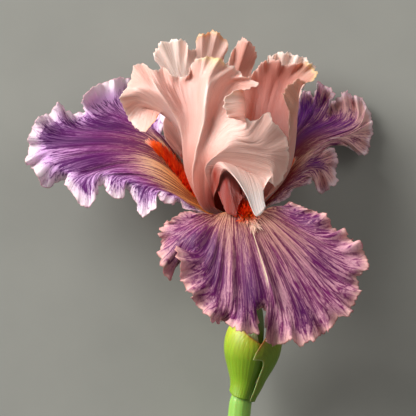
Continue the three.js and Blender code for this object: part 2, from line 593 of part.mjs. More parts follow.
piece('stem', turned(STEM_PROFILE, STEM_SIDES), '#8fb560', 0.5);
piece('ovary_tube', turned(OVARY_PROFILE, STEM_SIDES), '#7f9a4a', 0.5);
piece('spathe_left', valve(SPATHE_LEFT, 20), '#a5b83f', 0.5);
piece('spathe_right', valve(SPATHE_RIGHT, 12), '#6f8a34', 0.5);
piece('inner_bract', valve(INNER_BRACT, 10), '#c9cdb0', 0.6);
piece('fall_front', petal(FALL_FRONT), '#96609a', 0.6);
piece('fall_left', petal(FALL_LEFT), '#8a55a5', 0.6);
piece('fall_right', petal(FALL_RIGHT), '#5f2f78', 0.6);
piece('standard_front', petal(STANDARD_FRONT, EVENING), '#ecc4b6', 0.6);
piece('standard_right', petal(STANDARD_RIGHT), '#d9a08c', 0.6);
piece('standard_back', petal(STANDARD_BACK), '#e6b8a6', 0.6);
for (const [name, sheet] of Object.entries(BEARDS)) {
  piece(name, beard(sheet), '#d8360c', 0.8);
}
for (const [name, sheet] of Object.entries(STYLES)) {
  piece(name, sheetBlade(sheet, 8, 4, STYLE_THICKNESS), '#cf7a68', 0.6);
}
for (const [name, points] of Object.entries(STAMENS)) {
  piece(name, stamen(points), '#e8d9b0', 0.7);
}

// ---- laid down, with the middle of its box's lower face at the origin ------------------------

flower.rotation.set(HEAD_RAISED, ROLLED, 0);
const { min, max } = new THREE.Box3().setFromObject(flower, true);
flower.position.set(-(min.x + max.x) / 2, -(min.y + max.y) / 2, -min.z);

export default flower;
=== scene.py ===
# %% [markdown]
# # A bearded iris, cut and laid on its back
# A bearded iris has six petals in two rings. Three stand up, the standards, and three hang or spread,
# the falls. Each fall carries a brush of hairs, the beard, under a petal-like style arm. Here the whole
# flower lies on its back, so that its face looks up at the camera. First the finished solids are loaded.
# They fix where every piece is, and each one is then replaced by a finer piece in the same place.

# %% Load the solids that fix the places
import math
import random

import bpy
import numpy as np
from mathutils import Matrix


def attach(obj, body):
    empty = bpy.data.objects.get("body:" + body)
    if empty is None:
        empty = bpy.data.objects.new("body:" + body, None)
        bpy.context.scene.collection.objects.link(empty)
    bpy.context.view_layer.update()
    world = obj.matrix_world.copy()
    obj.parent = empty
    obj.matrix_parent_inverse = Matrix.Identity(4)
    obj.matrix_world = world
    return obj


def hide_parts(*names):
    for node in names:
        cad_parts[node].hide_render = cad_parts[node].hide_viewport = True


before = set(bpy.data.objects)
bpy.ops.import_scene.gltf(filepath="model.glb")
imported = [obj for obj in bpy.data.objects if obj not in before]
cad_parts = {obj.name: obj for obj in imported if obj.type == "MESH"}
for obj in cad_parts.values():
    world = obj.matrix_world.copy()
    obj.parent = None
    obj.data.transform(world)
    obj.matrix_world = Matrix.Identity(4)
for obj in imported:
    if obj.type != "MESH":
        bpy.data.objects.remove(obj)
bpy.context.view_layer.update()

MM = 0.001
print("solids:", sorted(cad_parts))

# %% [markdown]
# ## From the flower's own frame to the table
# A flower is easiest to draw upright: x to the right, y up the stem, z towards the viewer, with the heart
# at the origin. One matrix then lays it down. The two rear falls and the stem's cut end touch the table,
# and that gives the two angles. The alternative, drawing each petal tilted, would hide its symmetry.

# %% Lay the flower down
HEAD_RAISED = math.radians(12.23)
ROLLED = math.radians(-4.05)
FLOWER_AT = (11.82, 34.25, 36.15)  # the heart's place over the table, in mm
LAID = (Matrix.Translation([MM * n for n in FLOWER_AT])
        @ Matrix.Rotation(HEAD_RAISED, 4, "X") @ Matrix.Rotation(ROLLED, 4, "Y"))


def on_table(points):
    """Turns flower points in mm into places over the table in metres."""
    turn = np.array(LAID.to_3x3())
    return np.asarray(points, float) * MM @ turn.T + np.array(LAID.translation)


# %% [markdown]
# ## Camera, table and light
# The camera looks the flower straight in the face, from far off with a long lens, so that near and far
# petals keep their proportions. The light is a large soft lamp from the upper left with a weak fill from the
# right, which models the ruffles without hard shadows. A plain grey table takes the shadow.

# %% Camera
LENS = 300
SENSOR = 36
CAMERA_AT = (-10.8, 3.2, 1387)  # in the flower's frame, mm

camera = bpy.data.objects.new("camera", bpy.data.cameras.new("camera"))
camera.data.lens = LENS
camera.data.sensor_width = SENSOR
camera.data.clip_end = 10
camera.matrix_world = LAID @ Matrix.Translation([MM * n for n in CAMERA_AT])
bpy.context.scene.collection.objects.link(camera)
bpy.context.scene.camera = camera
print("frame width at the heart, mm:", round(SENSOR / LENS * CAMERA_AT[2], 1))

# %% Lamps


def soft_lamp(name, at, size, power, colour):
    """A square lamp at a place in the flower's frame, in mm, that looks at the heart."""
    lamp = bpy.data.lights.new(name, "AREA")
    lamp.size = size * MM
    lamp.energy = power
    lamp.color = colour
    holder = bpy.data.objects.new(name, lamp)
    place = LAID @ Matrix.Translation([MM * n for n in at])
    away = place.translation - LAID.translation
    holder.matrix_world = (Matrix.Translation(place.translation)
                           @ away.to_track_quat("Z", "Y").to_matrix().to_4x4())
    bpy.context.scene.collection.objects.link(holder)


soft_lamp("key", (-1500, 1120, 850), 1500, 88, (1, 0.975, 0.955))
soft_lamp("fill", (900, 700, 900), 900, 4, (1, 0.95, 0.93))
world = bpy.data.worlds.new("studio")
world.use_nodes = True
surround = world.node_tree.nodes["Background"].inputs
surround["Color"].default_value = (1, 0.97, 0.95, 1)
surround["Strength"].default_value = 0.2
bpy.context.scene.world = world
bpy.context.scene.view_settings.view_transform = "Standard"

# %% [markdown]
# ## Small tools for finishes
# A finish is a little network of nodes. These helpers add a node and wire it in one line, so that each
# finish below reads as a recipe. Colours are given as the eye reads them on a screen and are turned into
# the linear numbers that the shader wants.

# %% Node helpers
LINE_THINNESS = 11


def seen(red, green, blue):
    """A screen colour as linear light."""
    return tuple(c / 12.92 if c <= 0.04045 else ((c + 0.055) / 1.055) ** 2.4 for c in (red, green, blue))


def put(tree, kind, inputs=None, **fields):
    """Adds a node. inputs gives a socket a value or the socket that feeds it."""
    node = tree.nodes.new("ShaderNode" + kind)
    for field, value in fields.items():
        setattr(node, field, value)
    for socket, value in (inputs or {}).items():
        if isinstance(value, bpy.types.NodeSocket):
            tree.links.new(value, node.inputs[socket])
        else:
            node.inputs[socket].default_value = value
    return node


def new_finish(name, **sockets):
    """A material with its shader's sockets set, and its node tree."""
    material = bpy.data.materials.new(name)
    material.use_nodes = True
    shader = material.node_tree.nodes["Principled BSDF"]
    for socket, value in sockets.items():
        shader.inputs[socket.replace("_", " ")].default_value = value
    return material, material.node_tree, shader


def arith(tree, operation, a, b, clamp=False):
    """One step of arithmetic on two sockets or numbers."""
    return put(tree, "Math", {0: a, 1: b}, operation=operation, use_clamp=clamp).outputs[0]


def weighted(tree, layers):
    """The sum of layers, each given with its share."""
    (first, first_share), *others = layers
    total = arith(tree, "MULTIPLY", first, first_share)
    for layer, share in others:
        total = arith(tree, "ADD", total, arith(tree, "MULTIPLY", layer, share))
    return total


def carried(tree, title, kind="Fac"):
    """What the mesh carries at each point under a title."""
    return put(tree, "Attribute", attribute_name=title).outputs[kind]


def petal_place(tree, across, outward, seed, skew):
    """The place on a petal, squeezed so that a noise there is drawn out along the veins."""
    place = put(tree, "UVMap", uv_map="petal").outputs[0]
    scaled = put(tree, "VectorMath", {0: place, 1: (across, outward, 1)}, operation="MULTIPLY").outputs[0]
    shift = (seed, seed * skew, seed)
    return put(tree, "VectorMath", {0: scaled, 1: shift}, operation="ADD").outputs[0]


def stretched_noise(tree, across, outward, detail, seed, roughness=0.55):
    """Noise drawn out along the veins: across and outward are its waves over the petal's two ways."""
    place = petal_place(tree, across, outward, seed, 1.7)
    noise = put(tree, "TexNoise", {"Vector": place, "Scale": 1.0, "Detail": detail, "Roughness": roughness,
                                   "Distortion": 0.4})
    return put(tree, "MapRange", {0: noise.outputs["Fac"], 1: 0.28, 2: 0.72}).outputs[0]


def drawn_lines(tree, across, outward, seed):
    """Long thin lines that wander, meet and part, as veins do: 1 on a line and 0 between."""
    place = petal_place(tree, across, outward, seed, 1.3)
    noise = put(tree, "TexNoise", {"Vector": place, "Scale": 1.0, "Detail": 1.0, "Distortion": 0.5})
    off_line = arith(tree, "ABSOLUTE", arith(tree, "SUBTRACT", noise.outputs["Fac"], 0.5), 0)
    return arith(tree, "SUBTRACT", 1.0, arith(tree, "MULTIPLY", off_line, LINE_THINNESS), clamp=True)


def blended(tree, share, first, second):
    """The first colour turned into the second by a share."""
    return put(tree, "Mix", {0: share, 6: first, 7: second}, data_type="RGBA").outputs[2]


def scaled_colour(tree, colour, share):
    """A colour made darker or lighter by a share."""
    return put(tree, "VectorMath", {0: colour, "Scale": share}, operation="SCALE").outputs[0]


def dress(tree, shader, colour, height, strength, distance):
    """Feeds a shader its colour, and a bump made from a height."""
    tree.links.new(colour, shader.inputs["Base Color"])
    bump = put(tree, "Bump", {"Height": height, "Strength": strength, "Distance": distance})
    tree.links.new(bump.outputs[0], shader.inputs["Normal"])


# %% The table
TABLE_SIZE = 6  # metres

table_top, tree, shader = new_finish("pale_table", Roughness=0.9, Specular_IOR_Level=0.1)
grain = put(tree, "TexNoise", {"Scale": 180.0, "Detail": 4.0})
pale = put(tree, "ValToRGB", {"Fac": grain.outputs["Fac"]})
pale.color_ramp.elements[0].color = (*seen(0.53, 0.535, 0.515), 1)
pale.color_ramp.elements[1].color = (*seen(0.57, 0.575, 0.55), 1)
tree.links.new(pale.outputs["Color"], shader.inputs["Base Color"])
bpy.ops.mesh.primitive_plane_add(size=TABLE_SIZE)
table = bpy.context.object
table.name = "table"
table.data.materials.append(table_top)

# %% [markdown]
# ## Curves and sheets
# A petal is a sheet: a few rows of points cross it from the claw, its narrow foot, to the ruffled margin.
# A smooth curve through each row, and then one through the rows, gives any point on it. The same rows drive
# the solids, so the fine petals lie exactly where the solids do. Sculpting by hand would give as good a
# petal, but not one that can be drawn again from numbers.

# %% A smooth curve through points


def curve(points, t, knots=None):
    """Points on a smooth curve at each t from 0 to 1. points may hold rows of points."""
    points = np.asarray(points, float)
    last = len(points) - 1
    knots = np.arange(last + 1.0) if knots is None else np.asarray(knots, float)
    knots = (knots - knots[0]) / (knots[-1] - knots[0])
    t = np.clip(np.asarray(t, float), 0, 1)
    span = np.clip(np.searchsorted(knots, t, side="right") - 1, 0, last - 1)
    fit = (-1,) + (1,) * (points.ndim - 1)
    gaps = np.diff(knots).reshape(fit)
    steps = np.diff(points, axis=0) / gaps
    inner = (steps[:-1] * gaps[1:] + steps[1:] * gaps[:-1]) / (gaps[:-1] + gaps[1:])
    slopes = np.concatenate([steps[:1], inner, steps[-1:]])
    s = ((t - knots[span]) / np.diff(knots)[span]).reshape(fit)
    width = gaps[span]
    return ((2 * s**3 - 3 * s**2 + 1) * points[span] + (s**3 - 2 * s**2 + s) * width * slopes[span]
            + (3 * s**2 - 2 * s**3) * points[span + 1] + (s**3 - s**2) * width * slopes[span + 1])


def sheet_grid(sheet, across, outward):
    """A grid of points over a sheet: one row for each step outward."""
    rows = np.stack([curve(row, np.linspace(0, 1, across)) for row in sheet["rows"]])
    return curve(rows, np.linspace(0, 1, outward), sheet["reach"])


def grid_normals(grid):
    """The way that a sheet faces at each of its points."""
    along_rows = np.gradient(grid, axis=1)
    outward = np.gradient(grid, axis=0)
    normal = np.cross(along_rows, outward)
    return normal / np.maximum(np.linalg.norm(normal, axis=2, keepdims=True), 1e-9)


def calmed(field, passes):
    """A grid of vectors, each drawn towards its neighbours'."""
    for _ in range(passes):
        padded = np.pad(field, ((1, 1), (1, 1), (0, 0)), mode="edge")
        beside = padded[:-2, 1:-1] + padded[2:, 1:-1] + padded[1:-1, :-2] + padded[1:-1, 2:]
        field = (beside + 2 * field) / 6
    return field / np.maximum(np.linalg.norm(field, axis=2, keepdims=True), 1e-9)


def smooth(low, high, x):
    """0 below low, 1 above high, and a soft step between."""
    s = np.clip((x - low) / (high - low), 0, 1)
    return s * s * (3 - 2 * s)


# %% How far each point is from the margin


def edge_distance(grid):
    """The way over the sheet, in mm, to the nearest of its two sides and its margin."""
    outward = np.linalg.norm(np.diff(grid, axis=0), axis=2)
    to_margin = np.vstack([np.cumsum(outward[::-1], axis=0)[::-1], np.zeros((1, grid.shape[1]))])
    across = np.linalg.norm(np.diff(grid, axis=1), axis=2)
    nothing = np.zeros((grid.shape[0], 1))
    from_left = np.hstack([nothing, np.cumsum(across, axis=1)])
    from_right = from_left[:, -1:] - from_left
    return np.minimum(to_margin, np.minimum(from_left, from_right))


def edge_to_edge(grid):
    """The length of each row across the sheet, in mm."""
    return np.linalg.norm(np.diff(grid, axis=1), axis=2).sum(axis=1)[:, None]


# %% [markdown]
# ## From a sheet to a piece
# A bare sheet has no thickness, and light could not soak through it. So each one becomes a closed skin: the
# sheet is moved half its thickness to both sides, and a narrow rim joins the two. A petal is thick at the
# claw and paper thin at the margin. The grid's two ways are kept as a map, which the veins follow. Stalks
# and hairs are closed tubes instead, built from rings of points.

# %% Build a mesh piece


def piece(name, points, faces, finish, node, maps=None, tints=None, amounts=None):
    """A smooth mesh object from flower points in mm. tints and amounts are values at each point."""
    mesh = bpy.data.meshes.new(name)
    mesh.from_pydata(on_table(points).tolist(), [], faces)
    mesh.shade_smooth()
    corners = np.empty(len(mesh.loops), dtype=np.int64)
    mesh.loops.foreach_get("vertex_index", corners)
    if maps is not None:
        mesh.uv_layers.new(name="petal").data.foreach_set("uv", np.asarray(maps, float)[corners].ravel())
    for title, values in (tints or {}).items():
        rgba = np.hstack([values, np.ones((len(values), 1))])
        mesh.color_attributes.new(title, "FLOAT_COLOR", "POINT").data.foreach_set("color", rgba.ravel())
    for title, values in (amounts or {}).items():
        mesh.attributes.new(title, "FLOAT", "POINT").data.foreach_set("value", np.asarray(values, float))
    mesh.materials.append(finish)
    made = bpy.data.objects.new(name, mesh)
    bpy.context.scene.collection.objects.link(made)
    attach(made, "root")
    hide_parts(node)
    print(name, "has", len(mesh.polygons), "faces")


def ways(outward, across):
    """How far out and how far across each point of a grid lies, from 0 to 1."""
    return np.meshgrid(np.linspace(0, 1, outward), np.linspace(0, 1, across), indexing="ij")


def skin_faces(outward, across):
    """The quads of a closed skin: an upper grid, a lower grid after it, and the rim between them."""
    place = np.arange(outward * across).reshape(outward, across)
    corners = [place[:-1, :-1], place[:-1, 1:], place[1:, 1:], place[1:, :-1]]
    upper = np.stack(corners, axis=-1).reshape(-1, 4)
    lower = upper[:, ::-1] + outward * across
    rim = np.concatenate([place[0, :-1], place[:-1, -1], place[-1, :0:-1], place[:0:-1, 0]])
    after = np.roll(rim, -1)
    side = np.stack([after, rim, rim + outward * across, after + outward * across], axis=-1)
    return np.vstack([upper, lower, side]).tolist()


def skin(grid, thickness):
    """The points, faces and map of a closed skin, as thick at each point as is said."""
    normal = calmed(grid_normals(grid), 3)
    half = (thickness / 2)[..., None]
    points = np.vstack([(grid + normal * half).reshape(-1, 3), (grid - normal * half).reshape(-1, 3)])
    v, u = ways(*grid.shape[:2])
    maps = np.tile(np.stack([u.ravel(), v.ravel()], axis=1), (2, 1))
    return points, skin_faces(*grid.shape[:2]), maps


def tube_faces(rings, sides, first=0, turned_over=False):
    """The faces of a closed tube of rings of points, which are counted from first."""
    faces = []
    for k in range(rings - 1):
        for c in range(sides):
            a = first + k * sides + c
            b = first + k * sides + (c + 1) % sides
            faces.append((a, b, b + sides, a + sides) if turned_over else (a, a + sides, b + sides, b))
    foot = tuple(first + c for c in range(sides))
    head = tuple(first + (rings - 1) * sides + c for c in range(sides))
    return faces + ([foot[::-1], head] if turned_over else [foot, head[::-1]])


# %% [markdown]
# ## Ruffles
# The rows hold the big waves of a petal. The finer crimping of its margin is too small to draw by hand, and
# it follows a simple habit: short waves that are tall at the very edge and fade within a few millimetres.
# Three sets of waves of different length, each with its own uneven rhythm, look grown. Long shallow pleats
# run out from the claw between the veins.

# %% Crimp the margin and pleat the blade
# The wave length, height and depth of each set, in mm: first of crimps, then of the teeth cut into the edge.
CRIMPS = ((7.5, 0.6, 5.0), (3.6, 0.42, 2.6), (1.9, 0.26, 1.2))
TEETH = ((5.2, 0.5, 2.4), (2.3, 0.4, 1.6), (1.1, 0.22, 0.9))
PLEAT_WAVES = (14, 23, 37, 61)
BROAD = 110  # mm: where a petal is narrower than this, its pleats are shallower


def uneven_wave(way, length, dice):
    """A sine with a wandering rhythm."""
    wander = 0.9 * np.sin(2 * math.pi * way / (length * dice.uniform(3.1, 4.3)) + dice.uniform(0, 6))
    swell = 0.65 + 0.35 * np.sin(2 * math.pi * way / (length * dice.uniform(4.5, 6.5)) + dice.uniform(0, 6))
    return swell * np.sin(2 * math.pi * way / length + wander + dice.uniform(0, 6))


def ruffled(grid, crimp, teeth, pleat, seed, ribs, calm_from):
    """Adds pleats, crimps, teeth and ribs to a sheet. A rib is a crest along a list of (v, u). The margin is
    left calm where u is past calm_from."""
    dice = random.Random(seed)
    outward, across = grid.shape[:2]
    normal = calmed(grid_normals(grid), 2)
    edge = edge_distance(grid)
    v = np.linspace(0, 1, outward)[:, None]
    u = np.linspace(0, 1, across)[None, :]
    steps = np.linalg.norm(np.diff(grid[-1], axis=0), axis=1)
    way = np.concatenate([[0], np.cumsum(steps)])[None, :]
    lift = np.zeros((outward, across))
    lively = 1 - smooth(calm_from - 0.06, calm_from, u)
    for length, height, depth in CRIMPS:
        lift += lively * crimp * height * np.exp(-edge / depth) * uneven_wave(way, length, dice)
    width = edge_to_edge(grid)
    for waves in PLEAT_WAVES:
        fold = np.sin(2 * math.pi * waves * u + dice.uniform(0, 6))
        lift += pleat * 4 / waves * fold * smooth(0.05, 0.5, v) * np.minimum(1, width / BROAD)
    for path, height, breadth in ribs:
        at_v, at_u = zip(*path)
        off = np.abs(u - np.interp(v, at_v, at_u)) * width / breadth
        begun = smooth(at_v[0] - 0.08, at_v[0] + 0.08, v)
        within = begun * (1 - smooth(at_v[-1] - 0.06, at_v[-1] + 0.06, v))
        lift += height * np.exp(-off) * within
    lift *= smooth(0.12, 0.4, v)
    reach = np.zeros((outward, across))
    for length, height, depth in TEETH:
        wave = uneven_wave(way, length, dice)
        reach += lively * teeth * height * np.exp(-edge / depth) * wave * smooth(0.3, 0.6, v)
    ahead = np.gradient(grid, axis=0)
    ahead /= np.maximum(np.linalg.norm(ahead, axis=2, keepdims=True), 1e-9)
    return grid + normal * lift[..., None] + ahead * reach[..., None]


# %% Make a petal


def petal(name, sheet, upper, finish, colours, crimp, pleat, seed, teeth=1.0, across=300, outward=72,
          thin=0.2, thick=0.7, ribs=(), calm_from=2.0):
    """A petal's closed skin. upper is +1 or -1: the side of the sheet that faces the flower's heart."""
    grid = ruffled(sheet_grid(sheet, across, outward), crimp, teeth, pleat, seed, ribs, calm_from)
    v, u = ways(outward, across)
    edge = edge_distance(grid)
    body = thin + (thick - thin) * (1 - smooth(0.1, 0.8, v)) * smooth(0, 5, edge)
    points, faces, maps = skin(grid, body)
    coats = [colours(u=u.ravel(), v=v.ravel(), edge=edge.ravel(), inside=inside)
             for inside in (upper > 0, upper < 0)]
    tints = {key: np.vstack([coat[key] for coat in coats]) for key in ("ground", "ink")}
    amounts = {key: np.concatenate([coat[key] for coat in coats]) for key in ("inked", "crisp")}
    piece(name, points, faces, finish, name.replace("petal_", ""), maps, tints, amounts)


# %% [markdown]
# ## The outline of the three falls
# Each fall is five rows of points. The margin row has the most, because every lobe and notch of the edge
# needs its own. Two of them sweep back to the sides and the third hangs to the front, over the stem.

# %% The front fall
FALL_FRONT = {
    "reach": [0, 11, 26, 52, 68],
    "rows": [
        [[-1.3, 0, 5.3], [1.1, 0, 5.4], [3.4, 0, 4.3]],
        [[-8, 0, 13], [1.5, 2.5, 15.5], [10, 1.5, 12]],
        [[-13.5, 0.8, 17], [-6, -2.5, 25], [4, -4, 28], [12, -1, 26], [15.5, 3, 16.5]],
        [[-16.4, 1.4, 18.2], [-23, -5.5, 24], [-19, -10.5, 29], [-13, -17.5, 33], [-6, -33.5, 36],
            [3.5, -36, 37], [11, -32, 37], [19, -37.5, 36], [31, -35, 35], [39, -27, 33],
            [42, -16, 30], [31, -6, 27], [19, 4.5, 17.5]],
        [[-18, 2, 18], [-21.5, 1, 19], [-25, -1, 22], [-28.5, -3.5, 19], [-30, -6.5, 23],
            [-29, -10, 19], [-30, -13.5, 22], [-29.5, -18.5, 27], [-26.5, -25, 22], [-24, -20.5, 21],
            [-20.5, -16.5, 27], [-23.5, -12.5, 35], [-21.5, -20, 37], [-21, -25.5, 33],
            [-18, -30, 37], [-15, -35, 33], [-11, -39, 38],
            [-8, -41.5, 34], [-5.5, -41, 27], [-2.5, -42.5, 37], [1, -44.5, 40],
            [5, -45.5, 38], [9, -45.5, 36], [7.5, -38.5, 30], [9.5, -36, 31], [11.5, -37.5, 33.5],
            [12, -48.5, 28], [15, -50.5, 24], [18.5, -50, 34], [21.5, -48, 38], [25, -50.5, 36],
            [30, -48.5, 38], [34, -46, 34], [37, -44, 37], [40.5, -39.5, 33], [44.5, -39, 36],
            [46, -35, 32], [49, -29, 34], [47.5, -27, 29], [49, -22.5, 30], [52, -20, 32],
            [51, -15.5, 28], [48.5, -9, 30], [45.5, -10, 24], [43.5, -6, 26], [38.5, -5, 22],
            [36.5, 0, 26], [31.5, 2, 21], [27, 3.5, 21], [21, 6, 18]],
    ],
}

# %% The left fall
FALL_LEFT = {
    "reach": [0, 10, 27, 58, 80],
    "rows": [
        [[-5.5, 0, 0.3], [-5.2, 0, -1.9], [-3.8, 0, -4]],
        [[-9.5, 0.1, 2], [-12.5, 4.5, -3], [-11.5, 7, -8.5]],
        [[-12.5, 0.9, 3.8], [-27, 11, 3], [-31, 21.5, -3], [-30, 27.5, -11], [-25.5, 27, -17]],
        [[-14.3, 1, 4.5], [-26, 9, 6], [-35, 10.5, 7], [-43, 14.5, 4], [-52, 17, 3],
            [-60.5, 16, 4], [-69, 21, 1], [-73, 28, -3], [-70, 34.5, -9], [-60.5, 37.5, -17],
            [-52.5, 45, -25], [-41, 43.5, -30], [-29.8, 33, -21]],
        [[-15.5, 1, 5], [-19.5, 3, 8], [-23, 5.5, 4], [-25, 4.5, 8], [-29, 6, 10],
            [-32.5, 9, 6], [-31.5, 4.5, 12], [-34, 1, 12], [-37, 0, 13], [-39, 3, 9],
            [-41.5, 9, 4], [-45, 11, 2], [-44.5, 7.5, 8], [-47.5, 7, 10], [-51, 9.5, 8],
            [-52.5, 12.5, 2], [-55, 11.5, 3], [-55.5, 6.5, 10], [-58.5, 3.5, 12], [-62, 5, 11],
            [-65, 9.5, 9], [-68, 13, 6], [-67, 15.5, -4], [-71.5, 13, -2], [-76.5, 11.5, 2],
            [-79.5, 17, 4], [-82, 20, -3], [-84, 21.5, 1], [-82.5, 27, -5], [-83, 30.5, -2],
            [-81.5, 35, -9], [-80, 38.5, -5], [-77, 41, -12], [-75, 41, -15], [-71.5, 46, -10],
            [-69, 43, -16], [-65, 41.5, -26], [-61, 43.5, -28], [-62, 47, -18], [-59, 51, -20],
            [-57, 53, -25], [-52, 55, -32], [-49, 56, -30], [-46, 57, -38], [-42, 56, -42],
            [-37, 54.5, -46], [-33, 48, -38], [-30.5, 43.5, -29], [-27.5, 40.5, -21.5]],
    ],
}

# %% The right fall
FALL_RIGHT = {
    "reach": [0, 11, 28, 54, 70],
    "rows": [
        [[5.3, 0, -1.3], [4.2, 0, -3.5], [2.2, 0, -5]],
        [[9.5, 2, -3.5], [11.5, 4.5, -9.5], [8, 5.5, -13]],
        [[13.5, 4, -5], [22.5, 15, -14], [25.5, 22.5, -21], [24, 29, -28], [15, 21, -25]],
        [[15.8, 5, -5.6], [23, 11.5, -11], [31.5, 17.5, -17], [36, 20, -20], [33.5, 24.5, -23],
            [42, 31, -29], [48, 33.5, -34], [51, 38, -38], [45, 41, -40], [37.5, 40, -41],
            [33, 44, -43], [27, 41, -40], [19, 31.5, -33]],
        [[17.5, 5.5, -6], [21, 7, -9], [23.5, 10.5, -10], [26, 13, -14], [29, 13, -10],
            [31, 14, -14], [32, 16, -20], [33, 13, -17], [33.5, 10, -14], [36, 9.5, -19],
            [39, 11.5, -15], [42, 14, -20], [41, 17.5, -24], [42, 21.5, -20], [41.5, 25, -25],
            [40.5, 27.5, -22], [37.5, 27, -25], [41, 30, -31], [44, 29, -36], [47, 28.5, -33],
            [51, 26, -37], [53.5, 24.5, -34], [55.5, 27.5, -42], [56, 31, -40], [57, 33.5, -45],
            [57, 37.5, -42], [56.5, 42, -47], [54.5, 45, -43], [53, 48.5, -48], [50, 49.5, -43],
            [49, 49, -48], [47, 51, -43], [45, 51, -40], [43, 48.5, -47], [40.5, 48, -50],
            [39, 44, -47], [39, 46, -42.5], [41, 49.5, -40], [40, 52.5, -45], [37, 54, -48],
            [34.5, 55, -40], [33.5, 49.5, -47], [31, 51, -50], [29, 51.5, -46], [27, 50, -42],
            [27.5, 45, -48], [26, 41.5, -44], [23.5, 40, -40], [21, 37, -36]],
    ],
}

# %% [markdown]
# ## The finish of a fall
# A fall's colour comes in two layers. The ground runs from orange in the throat over tan to a pale margin.
# The ink is drawn on it in veins, maroon near the throat and purple in the blade, and the veins run so close
# in the middle that the ground hardly shows. So the mesh carries four things at each point: the ground,
# the ink, how much ink there is and how crisp its lines are. The material breaks the ink up into veins with
# noise that is drawn out along them. A painted picture could show them too, but would blur from near.

# %% Colour mixing along a scale


def along_scale(t, stops):
    """Colours at t along a list of (position, colour)."""
    at = [position for position, _ in stops]
    return np.stack([np.interp(t, at, [colour[i] for _, colour in stops]) for i in range(3)], axis=1)


def toward(colours, other, share):
    """Colours turned into another one, each by its share."""
    return colours + (np.asarray(other) - colours) * np.asarray(share)[:, None]


def spot(u, v, at_u, at_v, wide, deep):
    """1 at a place on the petal, falling off to nothing round it."""
    return np.exp(-((u - at_u) / wide) ** 2 - ((v - at_v) / deep) ** 2)


def along_line(path, width, u, v):
    """1 on a line over the petal, given as (v, u) points, and 0 a little beside it."""
    at_v, at_u = zip(*path)
    within = smooth(at_v[0] - 0.04, at_v[0] + 0.03, v) * (1 - smooth(at_v[-1] - 0.1, at_v[-1], v))
    return within * np.exp(-((u - np.interp(v, at_v, at_u)) / width) ** 2)


# %% The falls' material
fall_finish, tree, shader = new_finish(
    "fall_finish", Roughness=0.48, Subsurface_Weight=0.3, Subsurface_Scale=0.001, Sheen_Weight=0.0,
    Specular_IOR_Level=0.2)
shader.inputs["Subsurface Radius"].default_value = (1.0, 0.5, 0.8)
ground = carried(tree, "ground", "Color")
ink = carried(tree, "ink", "Color")
inked = carried(tree, "inked")
crisp = carried(tree, "crisp")
outward = put(tree, "SeparateXYZ", {0: put(tree, "UVMap", uv_map="petal").outputs[0]}).outputs["Y"]
in_blade = put(tree, "MapRange", {0: outward, 1: 0.3, 2: 0.62}).outputs[0]
in_haft = arith(tree, "SUBTRACT", 1.0, in_blade)
broad_lines = drawn_lines(tree, 44, 0.8, 4.2)
lines = weighted(tree, [(broad_lines, in_haft), (drawn_lines(tree, 95, 4.5, 7.7), in_blade)])
bands = stretched_noise(tree, 20, 1.2, 2, 3.1)
streaks = stretched_noise(tree, 150, 12.0, 3, 6.3, 0.7)
flecks = stretched_noise(tree, 260, 60, 2, 9.4)
mixed = weighted(tree, [(lines, 0.34), (bands, 0.12), (streaks, 0.34), (flecks, 0.2)])
over = arith(tree, "SUBTRACT", arith(tree, "ADD", mixed, inked), 1.0)
amount = arith(tree, "ADD", arith(tree, "MULTIPLY", over, crisp), 0.5, clamp=True)
pale_noise = stretched_noise(tree, 190, 7.0, 3, 8.8, 0.65)
pale_veins = put(tree, "MapRange", {0: pale_noise, 1: 0.46, 2: 0.64}).outputs[0]
pale_in_blade = arith(tree, "MULTIPLY", pale_veins, in_blade)
kept = arith(tree, "SUBTRACT", 1.0, arith(tree, "MULTIPLY", pale_in_blade, 0.2))
amount = arith(tree, "MULTIPLY", amount, kept)
dress(tree, shader, blended(tree, amount, ground, ink), mixed, 0.3, 0.0004)

# %% Where the falls' colours lie
ORANGE = seen(0.93, 0.5, 0.16)
GOLD = seen(0.9, 0.66, 0.4)
TAN = seen(0.84, 0.66, 0.54)
HAFT_TAN = seen(0.72, 0.52, 0.41)
ROSE_TAN = seen(0.72, 0.52, 0.5)
MAUVE = seen(0.68, 0.44, 0.63)
DUSK = seen(0.78, 0.57, 0.63)
LILAC_PALE = seen(0.82, 0.64, 0.84)
WHITE_PINK = seen(0.93, 0.84, 0.88)
PEACH = seen(0.86, 0.66, 0.64)
RUST = seen(0.7, 0.42, 0.36)
MAROON = seen(0.38, 0.1, 0.17)
WINE = seen(0.46, 0.1, 0.17)
PLUM = seen(0.42, 0.08, 0.34)
ROYAL = seen(0.36, 0.05, 0.5)
VIOLET = seen(0.34, 0.07, 0.38)
DEEP = seen(0.24, 0.02, 0.28)
RIB_PALE = seen(0.86, 0.82, 0.68)

# How much ink there is and how crisp its lines are, each as the places outward and the values there.
INK_AT = ([0, 0.12, 0.28, 0.4, 0.6, 0.85, 1], [0.25, 0.52, 0.6, 0.64, 0.66, 0.58, 0.44])
CRISP_AT = ([0, 0.3, 0.6, 1], [4.5, 4.5, 3.3, 2.4])
MIDRIB_WIDTH = 0.006
BEARD_WIDTH = 0.07
BACK_PALER = 0.5
BACK_LESS_INK = 0.22


